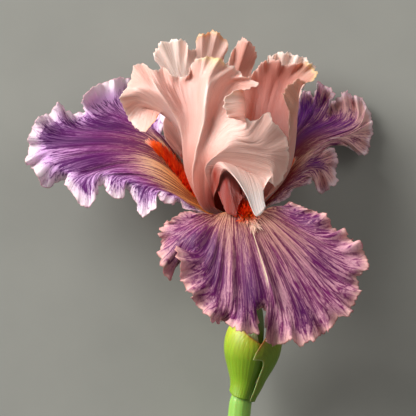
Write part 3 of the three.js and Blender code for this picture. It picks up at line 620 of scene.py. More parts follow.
def fall_colours(ground_stops, ink_stops, rim, fade, spots, beard, midrib=None, darkest=DEEP, haft_ink=0.0):
    """How a fall is coloured. rim is the colour that its margin takes within fade mm. spots lists
    (u, v, width, depth, more ink) for its darker and paler fields, and beard is the line under the beard,
    where the ground is orange."""
    def colours(u, v, edge, inside):
        ground = along_scale(v, ground_stops)
        ground = toward(ground, rim, 0.75 * (1 - smooth(0.3, fade, edge)) * smooth(0.2, 0.45, v))
        ground = toward(ground, RUST, 0.6 * (1 - smooth(0.1, 0.5, edge)))
        ink = along_scale(v, ink_stops)
        inked = haft_ink + np.interp(v, *INK_AT)
        inked = inked - haft_ink * smooth(0.3, 0.6, v)
        for at_u, at_v, wide, deep, more in spots:
            field = spot(u, v, at_u, at_v, wide, deep)
            inked = inked + more * field
            if more > 0:
                ink = toward(ink, darkest, np.clip(field * more * 3, 0, 0.85))
        inked = inked - 0.2 * (1 - smooth(0.2, fade, edge))
        warm = along_line(beard, BEARD_WIDTH, u, v)
        ground = toward(ground, ORANGE, 0.8 * warm)
        inked = inked - 0.25 * warm
        if midrib:
            line = along_line(midrib, MIDRIB_WIDTH, u, v)
            ground = toward(ground, RIB_PALE, line)
            inked = inked - 0.8 * line
        if not inside:
            ground = toward(ground, rim, np.full(len(v), BACK_PALER))
            inked = inked - BACK_LESS_INK
        crisp = np.interp(v, *CRISP_AT) * (0.55 + 0.45 * smooth(0.5, 7, edge))
        return dict(ground=ground, ink=ink, inked=inked, crisp=crisp)
    return colours


# The lines of the beards and of the front fall's midrib, as (v, u).
BEARD_LINES = {
    "beard_front": [(0.1, 0.52), (0.25, 0.57), (0.4, 0.59)],
    "beard_left": [(0.17, 0.5), (0.26, 0.62), (0.36, 0.66)],
    "beard_right": [(0.17, 0.5), (0.26, 0.5), (0.36, 0.5)],
}
FRONT_MIDRIB = [(0.4, 0.552), (0.43, 0.548), (0.53, 0.537), (0.63, 0.533), (0.72, 0.526)]
FRONT_GROUND = [(0, ORANGE), (0.1, ORANGE), (0.26, HAFT_TAN), (0.5, ROSE_TAN), (0.66, DUSK), (0.88, DUSK),
                (1, PEACH)]
FRONT_INK = [(0, MAROON), (0.35, MAROON), (0.6, PLUM), (1, PLUM)]
LEFT_GROUND = [(0, ORANGE), (0.16, ORANGE), (0.27, GOLD), (0.38, TAN), (0.55, MAUVE), (0.8, LILAC_PALE),
               (1, WHITE_PINK)]
# The right fall lies in the standards' shadow. Its ground towards the lobes is its own peach, made lighter
# as painted light.
RIGHT_GROUND = [(0, ORANGE), (0.12, ORANGE), (0.26, GOLD), (0.45, TAN), (0.6, PEACH), (1, PEACH)]
RIGHT_INK = [(0, MAROON), (0.4, WINE), (0.6, PLUM), (1, PLUM)]
LEFT_INK = [(0, MAROON), (0.3, MAROON), (0.45, PLUM), (0.75, VIOLET), (1, VIOLET)]
FRONT_SPOTS = [(0.456, 0.72, 0.07, 0.16, 0.28), (0.28, 0.71, 0.06, 0.15, 0.25),
               (0.18, 0.78, 0.05, 0.16, 0.25), (0.24, 0.62, 0.06, 0.1, 0.15), (0.95, 0.8, 0.05, 0.2, 0.2),
               (0.78, 0.66, 0.06, 0.12, 0.15), (0.63, 0.78, 0.03, 0.14, 0.25), (0.08, 0.72, 0.06, 0.14, 0.1),
               (0.86, 0.86, 0.05, 0.1, -0.08), (0.72, 0.46, 0.1, 0.18, -0.2), (0.3, 0.4, 0.1, 0.12, -0.14),
               (0.585, 0.66, 0.03, 0.12, -0.14)]
# The paler field on the top lobe, at u 0.84 and v 0.9, is partly painted light on a lobe that curls away
# from the lamp.
LEFT_SPOTS = [(0.61, 0.62, 0.035, 0.22, 0.3), (0.63, 0.76, 0.05, 0.08, 0.35), (0.76, 0.6, 0.06, 0.15, 0.28),
              (0.48, 0.62, 0.05, 0.14, 0.25), (0.55, 0.68, 0.03, 0.1, -0.12), (0.55, 0.85, 0.05, 0.1, -0.3),
              (0.84, 0.9, 0.08, 0.14, -0.4), (0.4, 0.36, 0.1, 0.1, -0.2), (0.29, 0.9, 0.03, 0.12, 0.1),
              (0.195, 0.8, 0.03, 0.15, 0.25)]
RIGHT_SPOTS = [(0.9, 0.76, 0.11, 0.24, 0.35), (0.62, 0.68, 0.05, 0.12, 0.15), (0.72, 0.55, 0.07, 0.25, 0.22),
               (0.56, 0.93, 0.12, 0.16, -0.2), (0.4, 0.5, 0.08, 0.14, -0.15),
               (0.67, 0.93, 0.03, 0.08, -0.25), (0.25, 0.9, 0.12, 0.12, -0.15),
               (0.28, 0.72, 0.06, 0.12, 0.2), (0.48, 0.6, 0.06, 0.2, -0.1)]

# %% Make the three falls
petal("petal_fall_front", FALL_FRONT, -1, fall_finish,
      fall_colours(FRONT_GROUND, FRONT_INK, PEACH, 3.2, FRONT_SPOTS, BEARD_LINES["beard_front"],
                   FRONT_MIDRIB),
      crimp=1.8, teeth=1.2, pleat=0.1, seed=11, across=360, ribs=[(FRONT_MIDRIB, 0.5, 1.2)])
petal("petal_fall_left", FALL_LEFT, 1, fall_finish,
      fall_colours(LEFT_GROUND, LEFT_INK, WHITE_PINK, 6.5, LEFT_SPOTS, BEARD_LINES["beard_left"]), crimp=1.2,
      teeth=0.6, pleat=0.25, seed=12)
# The right fall's darkest ink is a lighter violet than the others': painted light where the standards shade
# it.
petal("petal_fall_right", FALL_RIGHT, -1, fall_finish,
      fall_colours(RIGHT_GROUND, RIGHT_INK, WHITE_PINK, 3.5, RIGHT_SPOTS, BEARD_LINES["beard_right"],
                   darkest=ROYAL, haft_ink=0.15), crimp=1.2, teeth=0.8, pleat=0.25, seed=13)

# %% [markdown]
# ## The standards
# The three inner petals arch up and over the heart. They are thinner than the falls, and light soaks through
# them, so their shadows glow salmon instead of turning grey. Darker salmon and red are also painted into
# their colour where shade falls, and paler pink where light strikes: painted shade and painted highlight.
# Their rows are drawn like the falls', with more of them, because the front one folds over itself: its left
# flap turns down, its top rolls forward and its right side sweeps down over the throat.

# %% The front standard
STANDARD_FRONT = {
    "reach": [0, 10, 26, 44, 60, 72],
    "rows": [
        [[-5.2, 0, 1.7], [-4.2, 0, 3.5], [-2.2, 0, 5]],
        [[-11.5, 4.6, 2.8], [-12.5, 3, 8.5], [-7, 2.5, 11]],
        [[-16, 10.5, 0], [-19.5, 17, 6], [-18.5, 19.5, 12], [-16, 21, 16.5], [-12, 20.5, 18],
            [-10.5, 14.5, 17.5], [-8.4, 6, 13]],
        [[-18.5, 17.5, -2], [-21.5, 33, 4], [-23, 38, 12], [-18.5, 38.5, 13.5], [-12.7, 38.5, 20],
            [-8.5, 36.5, 17], [-2, 29, 25], [-10.5, 19, 20.5], [-8.2, 8.6, 15.3]],
        [[-20, 26.5, -4], [-27, 42.5, 2], [-36.5, 43.5, 5], [-36.5, 50.5, 9.5], [-30.5, 51.5, 10],
            [-24, 51.5, 8], [-16, 53, 11.5], [-9.8, 53, 17.5], [-0.5, 52.5, 9.5], [4, 45.2, 20.5],
            [4.5, 33, 25.5], [13, 25.5, 23], [11, 15, 22], [-6, 21, 23], [-7.4, 10.6, 17.8]],
        [[-20.5, 29.5, -6], [-22.5, 34, -4.5], [-25, 39, -2], [-27.5, 42, 2], [-30.5, 40.5, 8],
            [-33.6, 35.4, 11], [-36, 33.6, 11], [-39, 34.6, 6], [-42, 38, 2.5], [-44, 42, 4],
            [-45.8, 47, 9], [-44.5, 49.5, 7], [-42.5, 52.5, 3], [-41.5, 56, 1], [-40.5, 59.8, -2],
            [-37.2, 61.5, -4], [-34.8, 59.5, 2], [-32, 58, 5], [-29.5, 59, 0], [-27.2, 58.8, 3],
            [-25.5, 56, 9], [-22.5, 55.5, 7], [-19, 56, 11.5], [-17.6, 60, 8], [-15.5, 62, 11.5],
            [-12.6, 63, 13], [-9, 63, 12], [-6, 62.5, 14], [-4, 60.5, 9], [-1, 59.4, 11.5],
            [1.5, 57.5, 9], [3.5, 55.6, 12], [6.5, 54, 10.5], [9.2, 52.2, 14.5], [5.5, 50.2, 21],
            [-0.5, 49.2, 25], [-4.6, 45.4, 27], [-4, 41.5, 27], [-2.2, 38.4, 26.5], [3, 38.6, 23.5],
            [8, 37.6, 22], [12.6, 41, 17.5], [15.4, 36.8, 20], [19.8, 32, 15.5], [21, 26.5, 17.5],
            [20.5, 18.5, 16], [16, 11.5, 20.5], [13, 13.8, 24], [10.4, 8, 25], [11.6, 3.2, 28],
            [8, 0, 31], [5, 6.6, 30], [2, 12.4, 29], [-1.5, 17.2, 27], [-4.4, 18.8, 25],
            [-6, 15.8, 22], [-6.6, 12.6, 19.8]],
    ],
}

# %% The right standard
STANDARD_RIGHT = {
    "reach": [0, 10, 26, 46, 58, 66],
    "rows": [
        [[5.5, 0, -0.6], [5.2, 0, 1.9], [3.8, 0, 4]],
        [[8, 6.5, -2.5], [12, 6, 2], [8, 3.5, 7.5]],
        [[8, 19, -9.5], [15.5, 19.5, -7], [21, 18.5, 0], [20.5, 17, 8], [12, 7, 9.5]],
        [[4.5, 34.5, -14], [9, 39, -16], [15.5, 41.5, -15], [22, 41.5, -9], [25, 41, 0],
            [21.5, 29, 8.5], [14.3, 8.8, 10.3]],
        [[3.5, 38.5, -13], [9, 53, -17], [15, 55, -15], [21, 55, -13], [26.5, 53.5, -6],
            [25.5, 49.5, 3], [23, 41, 8.5], [20.8, 28.5, 10], [15.3, 9.8, 10.7]],
        [[3, 42.5, -14], [2, 47, -14], [3, 52, -15], [5.5, 56, -14.5], [8.5, 59, -16],
            [10, 61, -13.5], [12, 62.5, -11.5], [14, 62.4, -12.5], [16, 63, -10.5], [18, 62.5, -8],
            [19.5, 60.5, -11], [22, 61, -8.5], [25, 61.4, -6.5], [27.5, 62, -8], [30, 61.5, -5],
            [31.5, 59.5, -6], [33, 57, -2], [31.5, 54.5, 1.5], [29.5, 53.5, 1], [27, 54, 4],
            [25, 54.5, 7], [22.5, 53, 6.5], [20, 51, 9.5], [19, 49, 8.5], [19.5, 46, 11],
            [21, 43, 9.5], [21.5, 40, 11.5], [21, 37, 10.5], [21.5, 33, 12.5], [21, 26.5, 12],
            [19.5, 20.5, 13], [18, 15, 12], [16, 10.5, 11]],
    ],
}

# %% The back standard
STANDARD_BACK = {
    "reach": [0, 10, 26, 48, 66, 78],
    "rows": [
        [[-3.2, 0, -4.4], [-1, 0, -5.4], [1.5, 0, -5.3]],
        [[-6, 5, -9], [-1, 6.5, -12], [4.5, 5, -11]],
        [[-12, 14, -11], [-7, 17.5, -17.5], [1, 18.5, -19], [7, 17.5, -18], [9.5, 13, -13.2]],
        [[-19.8, 21.5, -12.5], [-16.5, 37.5, -21], [-7.5, 40, -25.5], [1, 41, -27], [10, 40, -26.5],
            [17, 37.5, -24], [16.5, 22.5, -17.5]],
        [[-25.8, 28, -14], [-25, 49.5, -21.5], [-24.5, 59, -24], [-19, 60, -25], [-13, 62.5, -26],
            [-7, 61, -27], [-2.5, 55, -28], [3, 57.5, -28], [9, 51, -31], [16.5, 56, -33],
            [23, 54.5, -32], [25, 46.5, -29], [20.5, 27.5, -19.8]],
        [[-28, 31, -14.5], [-29, 36.5, -16], [-28, 43, -18], [-28.5, 50.5, -21], [-29, 58, -21.5],
            [-31, 62, -23.5], [-33, 65, -22.5], [-31.5, 68.5, -24.5], [-30, 70.5, -23], [-26, 71.5, -25.5],
            [-23, 72, -23.5], [-19.5, 71, -25.5], [-19, 68.5, -22], [-17, 67.5, -25], [-15, 69, -27],
            [-15.5, 72.5, -25.5], [-13, 74, -23], [-10, 75, -25.5], [-7, 75, -23.5], [-5, 73, -26.5],
            [-2.5, 70, -25], [-4, 65.5, -27.5], [-4.5, 61, -25.5], [-2.5, 62.5, -28], [-1.5, 65.5, -25.5],
            [1, 70, -27.5], [3.5, 72.5, -24], [5.5, 71, -20.5], [8, 69, -26], [9, 65, -29.5],
            [7, 59.5, -28.5], [7.5, 56, -32], [10.5, 57, -34.5], [13, 61, -32], [14, 65.5, -35],
            [16, 65.5, -32], [17.5, 67, -35], [20.5, 67, -32], [23, 66.5, -35], [26, 65.5, -32],
            [28.5, 65, -34], [31, 63, -31], [33, 60.5, -32], [31, 57, -29], [28.5, 53, -30.5],
            [26, 47, -28], [25, 41.5, -27.5], [23.5, 36, -24], [22.5, 30.5, -21]],
    ],
}

# %% The standards' material
standard_finish, tree, shader = new_finish(
    "standard_finish", Roughness=0.4, Subsurface_Weight=0.5, Subsurface_Scale=0.0014, Sheen_Weight=0.15,
    Sheen_Roughness=0.35, Specular_IOR_Level=0.6)
shader.inputs["Subsurface Radius"].default_value = (1.0, 0.6, 0.5)
veins = stretched_noise(tree, 160, 2.6, 3, 5.3, 0.65)
fine_veins = drawn_lines(tree, 110, 1.1, 3.3)
satin = stretched_noise(tree, 330, 14, 2, 2.2)
mixed = weighted(tree, [(veins, 0.5), (fine_veins, 0.25), (satin, 0.25)])
amount = arith(tree, "MULTIPLY", mixed, carried(tree, "inked"), clamp=True)
colour = blended(tree, amount, carried(tree, "ground", "Color"), carried(tree, "ink", "Color"))
dress(tree, shader, colour, mixed, 0.5, 0.0006)

# %% Where the standards' colours lie
# Several of these colours are painted light and shade. The hollow and throat reds are painted shade of the
# throat over the claw's own deeper red. The deep salmon, shade pink and beige darken shaded parts: painted
# shade. The white rose is a painted highlight, and the pale pink is partly painted light.
HOLLOW_SHADE_RED = seen(0.5, 0.02, 0.01)
THROAT_SHADE_RED = seen(0.62, 0.2, 0.13)
SALMON = seen(0.8, 0.5, 0.43)
SHADE_SALMON = seen(0.6, 0.34, 0.3)
PALE_PINK = seen(1, 0.84, 0.79)
HIGHLIGHT_ROSE = seen(1, 0.93, 0.9)
SHADE_PINK = seen(0.74, 0.46, 0.4)
SHADE_BEIGE = seen(0.68, 0.5, 0.42)
SHELL_PINK = seen(0.92, 0.72, 0.67)
CREAM = seen(0.95, 0.84, 0.79)
BUFF = seen(0.9, 0.74, 0.52)
YELLOW_RIM = seen(0.88, 0.56, 0.26)
ROSE = seen(0.76, 0.46, 0.41)
RIDGE_WIDTH = 0.012


def standard_colours(inner, fields, rims, ridges=()):
    """How a standard is coloured. inner is how much salmon its inner face has. fields lists
    (u, v, width, depth, colour, share), many of them painted shade and some painted highlight, and rims
    lists (first u, last u, colour) for the margin. ridges are lines made paler: partly the ribs' own colour
    and partly painted highlight."""
    def colours(u, v, edge, inside):
        # The claw runs from dark red to salmon: partly its own colour, partly painted shade of the throat.
        ground = along_scale(v, [(0, HOLLOW_SHADE_RED), (0.12, THROAT_SHADE_RED), (0.3, SALMON), (0.5, SHELL_PINK),
                                 (1, SHELL_PINK)])
        if inside:
            ground = toward(ground, SALMON, np.full(len(v), inner))
        ground = toward(ground, CREAM, 0.5 * (1 - smooth(0.2, 2.2, edge)) * smooth(0.5, 0.7, v))
        # The ridges are made paler: partly the ribs' own paler colour, partly painted highlight along their
        # crests.
        for path in ridges:
            ground = toward(ground, PALE_PINK, 0.8 * along_line(path, RIDGE_WIDTH, u, v))
        ink = along_scale(v, [(0, HOLLOW_SHADE_RED), (0.25, THROAT_SHADE_RED), (0.45, ROSE), (1, ROSE)])
        inked = np.interp(v, [0, 0.3, 0.7, 1], [0.7, 0.5, 0.32, 0.24])
        for at_u, at_v, wide, deep, colour, share in fields:
            field = share * spot(u, v, at_u, at_v, wide, deep)
            ground = toward(ground, colour, np.clip(field, 0, 1))
            ink = toward(ink, colour, np.clip(field, 0, 1))
        for first, last, colour in rims:
            along_rim = smooth(first - 0.02, first + 0.02, u) * (1 - smooth(last - 0.02, last + 0.02, u))
            share = 0.75 * along_rim * (1 - smooth(0.3, 2.2, edge)) * smooth(0.6, 0.8, v)
            ground = toward(ground, colour, share)
            inked = inked * (1 - share)
        return dict(ground=ground, ink=ink, inked=inked, crisp=np.ones(len(v)))
    return colours


# Most of these fields are painted light and shade. The dark reds darken the claw, the throat hollow and the
# arch's left lip where shade falls, and the deep salmon and shade pink darken the shaded panels and the left
# flap: painted shade. The white rose is a painted highlight on the lit flange. The pale pink on the small
# top flap is its own cream made lighter as painted light, and the buff is the petal's own colour.
FRONT_FIELDS = [(0.94, 0.12, 0.24, 0.24, HOLLOW_SHADE_RED, 1.0), (0.97, 0.45, 0.1, 0.16, HOLLOW_SHADE_RED, 1.0),
                (0.9, 0.62, 0.05, 0.12, SHADE_PINK, 0.9), (0.97, 0.6, 0.035, 0.15, THROAT_SHADE_RED, 1.0),
                (0.965, 0.8, 0.03, 0.1, THROAT_SHADE_RED, 1.0), (0.34, 0.72, 0.12, 0.28, SHADE_SALMON, 0.6),
                (0.6, 0.8, 0.07, 0.16, SHADE_PINK, 0.4), (0.1, 0.75, 0.06, 0.2, SHADE_PINK, 0.4),
                (0.9, 0.98, 0.04, 0.08, HIGHLIGHT_ROSE, 1.0), (1, 0.9, 0.04, 0.25, THROAT_SHADE_RED, 1.0),
                (0.645, 0.95, 0.025, 0.07, PALE_PINK, 0.8), (0.475, 1, 0.02, 0.06, BUFF, 0.6)]
FRONT_RIMS = [(0.06, 0.1, YELLOW_RIM), (0.44, 0.5, BUFF)]
# Painted shade: the deep salmon darkens the inner face where other petals shade it, and the beige darkens
# the shaded lip at the top. The buff is the margin's own colour.
RIGHT_FIELDS = [(0.5, 1, 0.07, 0.05, BUFF, 0.4), (0.35, 0.6, 0.3, 0.35, SHADE_SALMON, 1.0),
                (0.45, 0.97, 0.06, 0.08, SHADE_BEIGE, 0.9), (0.25, 0.85, 0.2, 0.14, SHADE_SALMON, 0.7),
                (0.9, 0.7, 0.2, 0.3, SHADE_SALMON, 0.5), (0.72, 0.95, 0.14, 0.16, SHADE_BEIGE, 1.0)]
RIGHT_RIMS = [(0.42, 0.56, BUFF)]
# The shade pink and deep salmon are painted shade on the narrow lobe and the edge at u = 0. The pale pink on
# the lobes is partly their own pale colour, partly painted light, and the shell pink is their own ground.
BACK_FIELDS = [(0.17, 0.9, 0.12, 0.3, PALE_PINK, 0.9), (0.8, 0.97, 0.12, 0.12, PALE_PINK, 0.7),
               (0.58, 0.9, 0.05, 0.2, SHADE_PINK, 0.8), (0.0, 0.8, 0.07, 0.4, SHADE_SALMON, 0.9),
               (0.36, 0.98, 0.06, 0.1, SHELL_PINK, 0.8)]
BACK_RIMS = [(0.3, 0.41, YELLOW_RIM)]

# %% Make the three standards
# Each rib is its line as (v, u), its height and its breadth in mm.
FRONT_RIBS = [
    ([(0.25, 0.42), (0.3, 0.452), (0.38, 0.52), (0.48, 0.53), (0.6, 0.512), (0.67, 0.502), (0.8, 0.498),
      (0.87, 0.486)], 0.9, 1.5),
    ([(0.5, 0.29), (0.62, 0.262), (0.7, 0.266), (0.84, 0.275), (0.93, 0.282)], 0.7, 1.3),
]
petal("petal_standard_front", STANDARD_FRONT, -1, standard_finish,
      standard_colours(0.6, FRONT_FIELDS, FRONT_RIMS, [path for path, _, _ in FRONT_RIBS]), crimp=0.6,
      teeth=0.75, pleat=0.04, seed=21, across=400, outward=110, thick=0.6, ribs=FRONT_RIBS, calm_from=0.9)
petal("petal_standard_right", STANDARD_RIGHT, 1, standard_finish,
      standard_colours(0.6, RIGHT_FIELDS, RIGHT_RIMS), crimp=0.5, pleat=0.03, seed=22, thick=0.6)
petal("petal_standard_back", STANDARD_BACK, 1, standard_finish,
      standard_colours(0.15, BACK_FIELDS, BACK_RIMS), crimp=0.5, pleat=0.05, seed=23, thick=0.6)

# %% [markdown]
# ## Beards
# A beard is a brush of stiff hairs on the midrib of each fall, thickest in the middle. Towards its outer end
# the hairs turn pale and lie down over the fall. Each hair is a thin tapering tube of its own, with a slight
# bend. A hair system would be quicker to set up, but real tubes keep their shape when the flower is saved as
# a mesh.

# %% The shape of a hair
BEARDS = {
    "beard_front": dict(fall=FALL_FRONT, up=-1, half=4.2, fringe=0.75),
    "beard_left": dict(fall=FALL_LEFT, up=1, half=3.2, fringe=0.95),
    "beard_right": dict(fall=FALL_RIGHT, up=-1, half=2.6, fringe=0.95),
}
HAIRS = 900
HAIR_LENGTH = (2.2, 5.2)  # mm
HAIR_RADIUS = 0.2
HAIR_STEPS = 4
HAIR_SIDES = 3


def on_grid(grid, u, v):
    """The point of a fine grid at u, v, between its four nearest points."""
    y = min(max(v, 0), 0.9999) * (grid.shape[0] - 1)
    x = min(max(u, 0), 0.9999) * (grid.shape[1] - 1)
    k, c = int(y), int(x)
    a, b = y - k, x - c
    return ((1 - a) * ((1 - b) * grid[k, c] + b * grid[k, c + 1])
            + a * ((1 - b) * grid[k + 1, c] + b * grid[k + 1, c + 1]))


def hair(root, tip, bend, thickness):
    """The rings of points of one tapering hair."""
    t = np.linspace(0, 1, HAIR_STEPS)[:, None]
    middle = root + (tip - root) * t + bend * t * t
    ahead = tip - root
    side = np.cross(ahead, (0.31, 0.52, 0.8))
    side /= np.linalg.norm(side)
    other = np.cross(ahead, side) / np.linalg.norm(ahead)
    turns = 2 * math.pi * np.arange(HAIR_SIDES) / HAIR_SIDES
    ring = np.cos(turns)[:, None] * side + np.sin(turns)[:, None] * other
    radius = thickness * (1 - 0.75 * t)
    return (middle[:, None, :] + ring[None] * radius[..., None]).reshape(-1, 3)


# %% The hairs' finish
beard_finish, tree, shader = new_finish("beard_finish", Roughness=0.6, Subsurface_Weight=0.2,
                                        Subsurface_Scale=0.0006, Specular_IOR_Level=0.15)
fuzz = put(tree, "TexNoise", {"Scale": 900.0, "Detail": 2.0})
shade = put(tree, "MapRange", {0: fuzz.outputs["Fac"], 1: 0.3, 2: 0.7, 3: 0.8, 4: 1.1}).outputs[0]
tree.links.new(scaled_colour(tree, carried(tree, "ground", "Color"), shade), shader.inputs["Base Color"])
HAIR_RED = seen(0.92, 0.1, 0.01)
HAIR_ORANGE = seen(0.98, 0.36, 0.05)
HAIR_PALE = seen(0.97, 0.78, 0.7)

# %% Grow the three beards
STEP = 0.01  # how far apart on the petal its slopes are measured


def beard(name, fall, up, half, fringe):
    """A brush of hairs on a fall. up is the side of the fall that it stands on, half is half the brush's
    breadth in mm, and fringe is where along it the hairs turn pale and lie down."""
    path = BEARD_LINES[name]
    dice = random.Random(name)
    grid = sheet_grid(fall, 300, 100)
    points = []
    tints = []
    faces = []
    for _ in range(HAIRS):
        s = dice.random()
        lying = float(smooth(fringe - 0.1, fringe + 0.15, s))
        if dice.random() < 0.6 * lying:
            continue
        v, u = curve(path, [s])[0]
        here = on_grid(grid, u, v)
        across = (on_grid(grid, u + STEP, v) - here) / STEP
        outward = (on_grid(grid, u, v + STEP) - here) / STEP
        normal = np.cross(across, outward) * up
        normal /= np.linalg.norm(normal)
        wide = min(1, 0.35 + 1.6 * s) * min(1, 0.3 + 2.4 * (1 - s))
        off = max(-1, min(1, dice.gauss(0, 0.45)))
        root = here + across / np.linalg.norm(across) * off * half * wide + normal * 0.3
        length = dice.uniform(*HAIR_LENGTH) * (0.6 + 0.4 * math.sqrt(1 - off * off))
        lean = outward / np.linalg.norm(outward) * (dice.uniform(0.1, 1.0) + 1.2 * s * s + 2.2 * lying)
        spread = across / np.linalg.norm(across) * (off * 0.9 + dice.uniform(-0.3, 0.3)) * (1 + 1.5 * lying)
        ahead = normal + lean + spread
        ahead /= np.linalg.norm(ahead)
        bend = outward / np.linalg.norm(outward) * dice.uniform(0.1, 0.6)
        faces += tube_faces(HAIR_STEPS, HAIR_SIDES, len(points) * HAIR_STEPS * HAIR_SIDES, turned_over=True)
        points.append(hair(root, root + ahead * length, bend, HAIR_RADIUS * dice.uniform(0.7, 1.2)))
        body = along_scale([s], [(0, HAIR_ORANGE), (0.15, HAIR_RED), (fringe - 0.25, HAIR_RED),
                                 (fringe - 0.05, HAIR_ORANGE), (fringe + 0.12, HAIR_PALE)])[0]
        rings = np.repeat(np.linspace(0, 1, HAIR_STEPS), HAIR_SIDES)[:, None]
        tip = np.asarray(HAIR_ORANGE if s < fringe else HAIR_PALE)
        tints.append(body + (tip - body) * rings * 0.6 * dice.uniform(0.3, 1))
    piece("hairs_" + name, np.vstack(points), faces, beard_finish, name,
          tints={"ground": np.vstack(tints)})


for name, facts in BEARDS.items():
    beard(name, **facts)

# %% [markdown]
# ## Style arms and stamens
# Three style arms rise from the heart, each a stout little petal that arches over a beard and ends in a
# frilled crest. A stamen hides under each: a slim stalk with a long anther. The arms use the same sheets as
# the petals, and the stamens a tube of changing thickness.

# %% Style arms
STYLES = {
    "style_arm_front": {
        "reach": [0, 10, 20, 27, 33],
        "rows": [
            [[-1.6, 0, 1.4], [-0.2, 0, 2.3], [1.4, 0, 1.6]],
            [[-8.6, 4.5, 5.5], [-2.2, 11, 9.5], [2.8, 7.2, 8]],
            [[-7.4, 10.8, 13], [-4, 17.6, 17.5], [1.8, 13.6, 16]],
            [[-6, 7.6, 18.6], [-3, 11, 22.8], [1.8, 9, 21.4]],
            [[-4.4, 3.4, 22], [-3.2, 1, 23.8], [-1.4, 0.4, 24.6], [0.4, 0, 24.6], [1.2, 4, 23.2],
                [3, 7.4, 22.6]],
        ],
    },
    "style_arm_left": {
        "reach": [0, 10, 18, 25],
        "rows": [
            [[-2.2, 0, 0.6], [-2.1, 0, -0.9], [-1.1, 0, -2.1]],
            [[-7.4, 10, -0.6], [-7, 11, -3.2], [-5.4, 10.6, -6.2]],
            [[-13.6, 17, -3.4], [-13.4, 19, -6], [-11.8, 19, -9.4]],
            [[-18.6, 21.2, -4.4], [-21.8, 24, -4.4], [-20.6, 25, -6.6], [-19.8, 26.8, -9],
                [-16.4, 24.8, -11]],
        ],
    },
    "style_arm_right": {
        "reach": [0, 9, 16, 22],
        "rows": [
            [[2.2, 0, 0.2], [1.8, 0, -1.3], [0.7, 0, -2.2]],
            [[7.6, 8.4, -5.4], [6.6, 9.2, -7.2], [5, 8.8, -8.6]],
            [[13, 12.8, -9.6], [12.4, 14.4, -11.8], [10.8, 13.4, -13.4]],
            [[17.2, 16.8, -10.4], [18.2, 19.4, -12], [16.4, 18.4, -13.6], [15.4, 19.8, -15.6],
                [13.4, 17, -15]],
        ],
    },
}
# The style arms' dark reds are painted shadow: the front standard's arch shades them, over their own salmon.
STYLE_GROUND_IN_SHADOW = [(0, HOLLOW_SHADE_RED), (0.3, seen(0.46, 0.05, 0.02)), (0.7, seen(0.52, 0.13, 0.08)),
                (1, seen(0.6, 0.22, 0.16))]


def style_colours(v, **others):
    """How a style arm is coloured, darkened with painted shadow. Only the way outward counts."""
    ground = along_scale(v, STYLE_GROUND_IN_SHADOW)
    return dict(ground=ground, ink=np.tile(HOLLOW_SHADE_RED, (len(v), 1)), inked=np.full(len(v), 0.4),
                crisp=np.ones(len(v)))


for seed, (name, sheet) in enumerate(STYLES.items()):
    petal("petal_" + name, sheet, 1, standard_finish, style_colours, crimp=0.5, teeth=0.5,
          pleat=0.2, seed=31 + seed, across=90, outward=60, thin=0.45, thick=0.8)

# %% Stamens
STAMENS = {
    "stamen_front": [[-0.4, 0, 3.7], [-0.6, 5.4, 8.8], [-1.4, 8.4, 14.8], [-2, 8.2, 18.6]],
    "stamen_left": [[-3.6, 0, -1.6], [-8, 6.6, -4], [-12.5, 12, -6.2], [-16.4, 15.6, -7.4]],
    "stamen_right": [[3, 0, -2.6], [6.6, 5.6, -7.2], [9.4, 9.4, -10.8], [11.4, 11.6, -13.2]],
}
ANTHER_LENGTH = 9
FILAMENT_RADIUS = 0.55
ANTHER_RADIUS = 0.95
LEAST_RADIUS = 0.12
STAMEN_SIDES = 14

stamen_finish, tree, shader = new_finish("stamen_finish", Roughness=0.8, Subsurface_Weight=0.2,
                                         Subsurface_Scale=0.0008)
pollen = put(tree, "TexNoise", {"Scale": 2600.0, "Detail": 3.0})
grains = put(tree, "ValToRGB", {"Fac": pollen.outputs["Fac"]})
grains.color_ramp.elements[0].color = (*seen(0.83, 0.74, 0.5), 1)
grains.color_ramp.elements[1].color = (*seen(0.97, 0.93, 0.8), 1)
dress(tree, shader, grains.outputs["Color"], pollen.outputs["Fac"], 0.6, 0.0002)


def rod(middle, radii, sides):
    """The points of a tube of changing radius round a middle line."""
    ahead = np.gradient(middle, axis=0)
    ahead /= np.linalg.norm(ahead, axis=1, keepdims=True)
    side = np.cross(ahead, (0.2, 0.3, 1.0))
    side /= np.linalg.norm(side, axis=1, keepdims=True)
    other = np.cross(ahead, side)
    turns = 2 * math.pi * np.arange(sides) / sides
    ring = np.cos(turns)[None, :, None] * side[:, None] + np.sin(turns)[None, :, None] * other[:, None]
    return (middle[:, None] + radii[:, None, None] * ring).reshape(-1, 3)


for name, points in STAMENS.items():
    t = np.linspace(0, 1, 48)
    middle = curve(points, t)
    length = np.linalg.norm(np.diff(middle, axis=0), axis=1).sum()
    within = np.clip((t - 1 + ANTHER_LENGTH / length) * length / ANTHER_LENGTH, 0, 1)
    swelling = np.sqrt(np.clip(np.sin(math.pi * within), 0, 1))
    anther = np.maximum(FILAMENT_RADIUS * (within < 0.5), ANTHER_RADIUS * swelling)
    radii = np.maximum(np.where(within > 0, anther, FILAMENT_RADIUS), LEAST_RADIUS)
    piece("rod_" + name, rod(middle, radii, STAMEN_SIDES), tube_faces(len(t), STAMEN_SIDES), stamen_finish,
          name)

# %% [markdown]
# ## Stem, ovary and spathe
# The stem is a smooth round stalk, a little ribbed. The ovary swells above it inside the spathe, two
# leathery bracts whose upper edges have turned brown, and narrows to the tube that carries the petals. Round
# pieces are turned from a profile and then bent along the stem's lean.

# %% The stem's lean
LEAN_HEIGHTS = [-150, -110, -80, -74, -67, -60, -51.5, -38, -26, -12, 0]
LEAN = [[-1.2, 0], [-0.4, 0], [1.6, -0.5], [2.3, -0.6], [4.2, -0.8], [5.6, -1], [6.4, -1],
    [6.8, -1], [5, -1], [2.2, -0.5], [0.3, 0]]


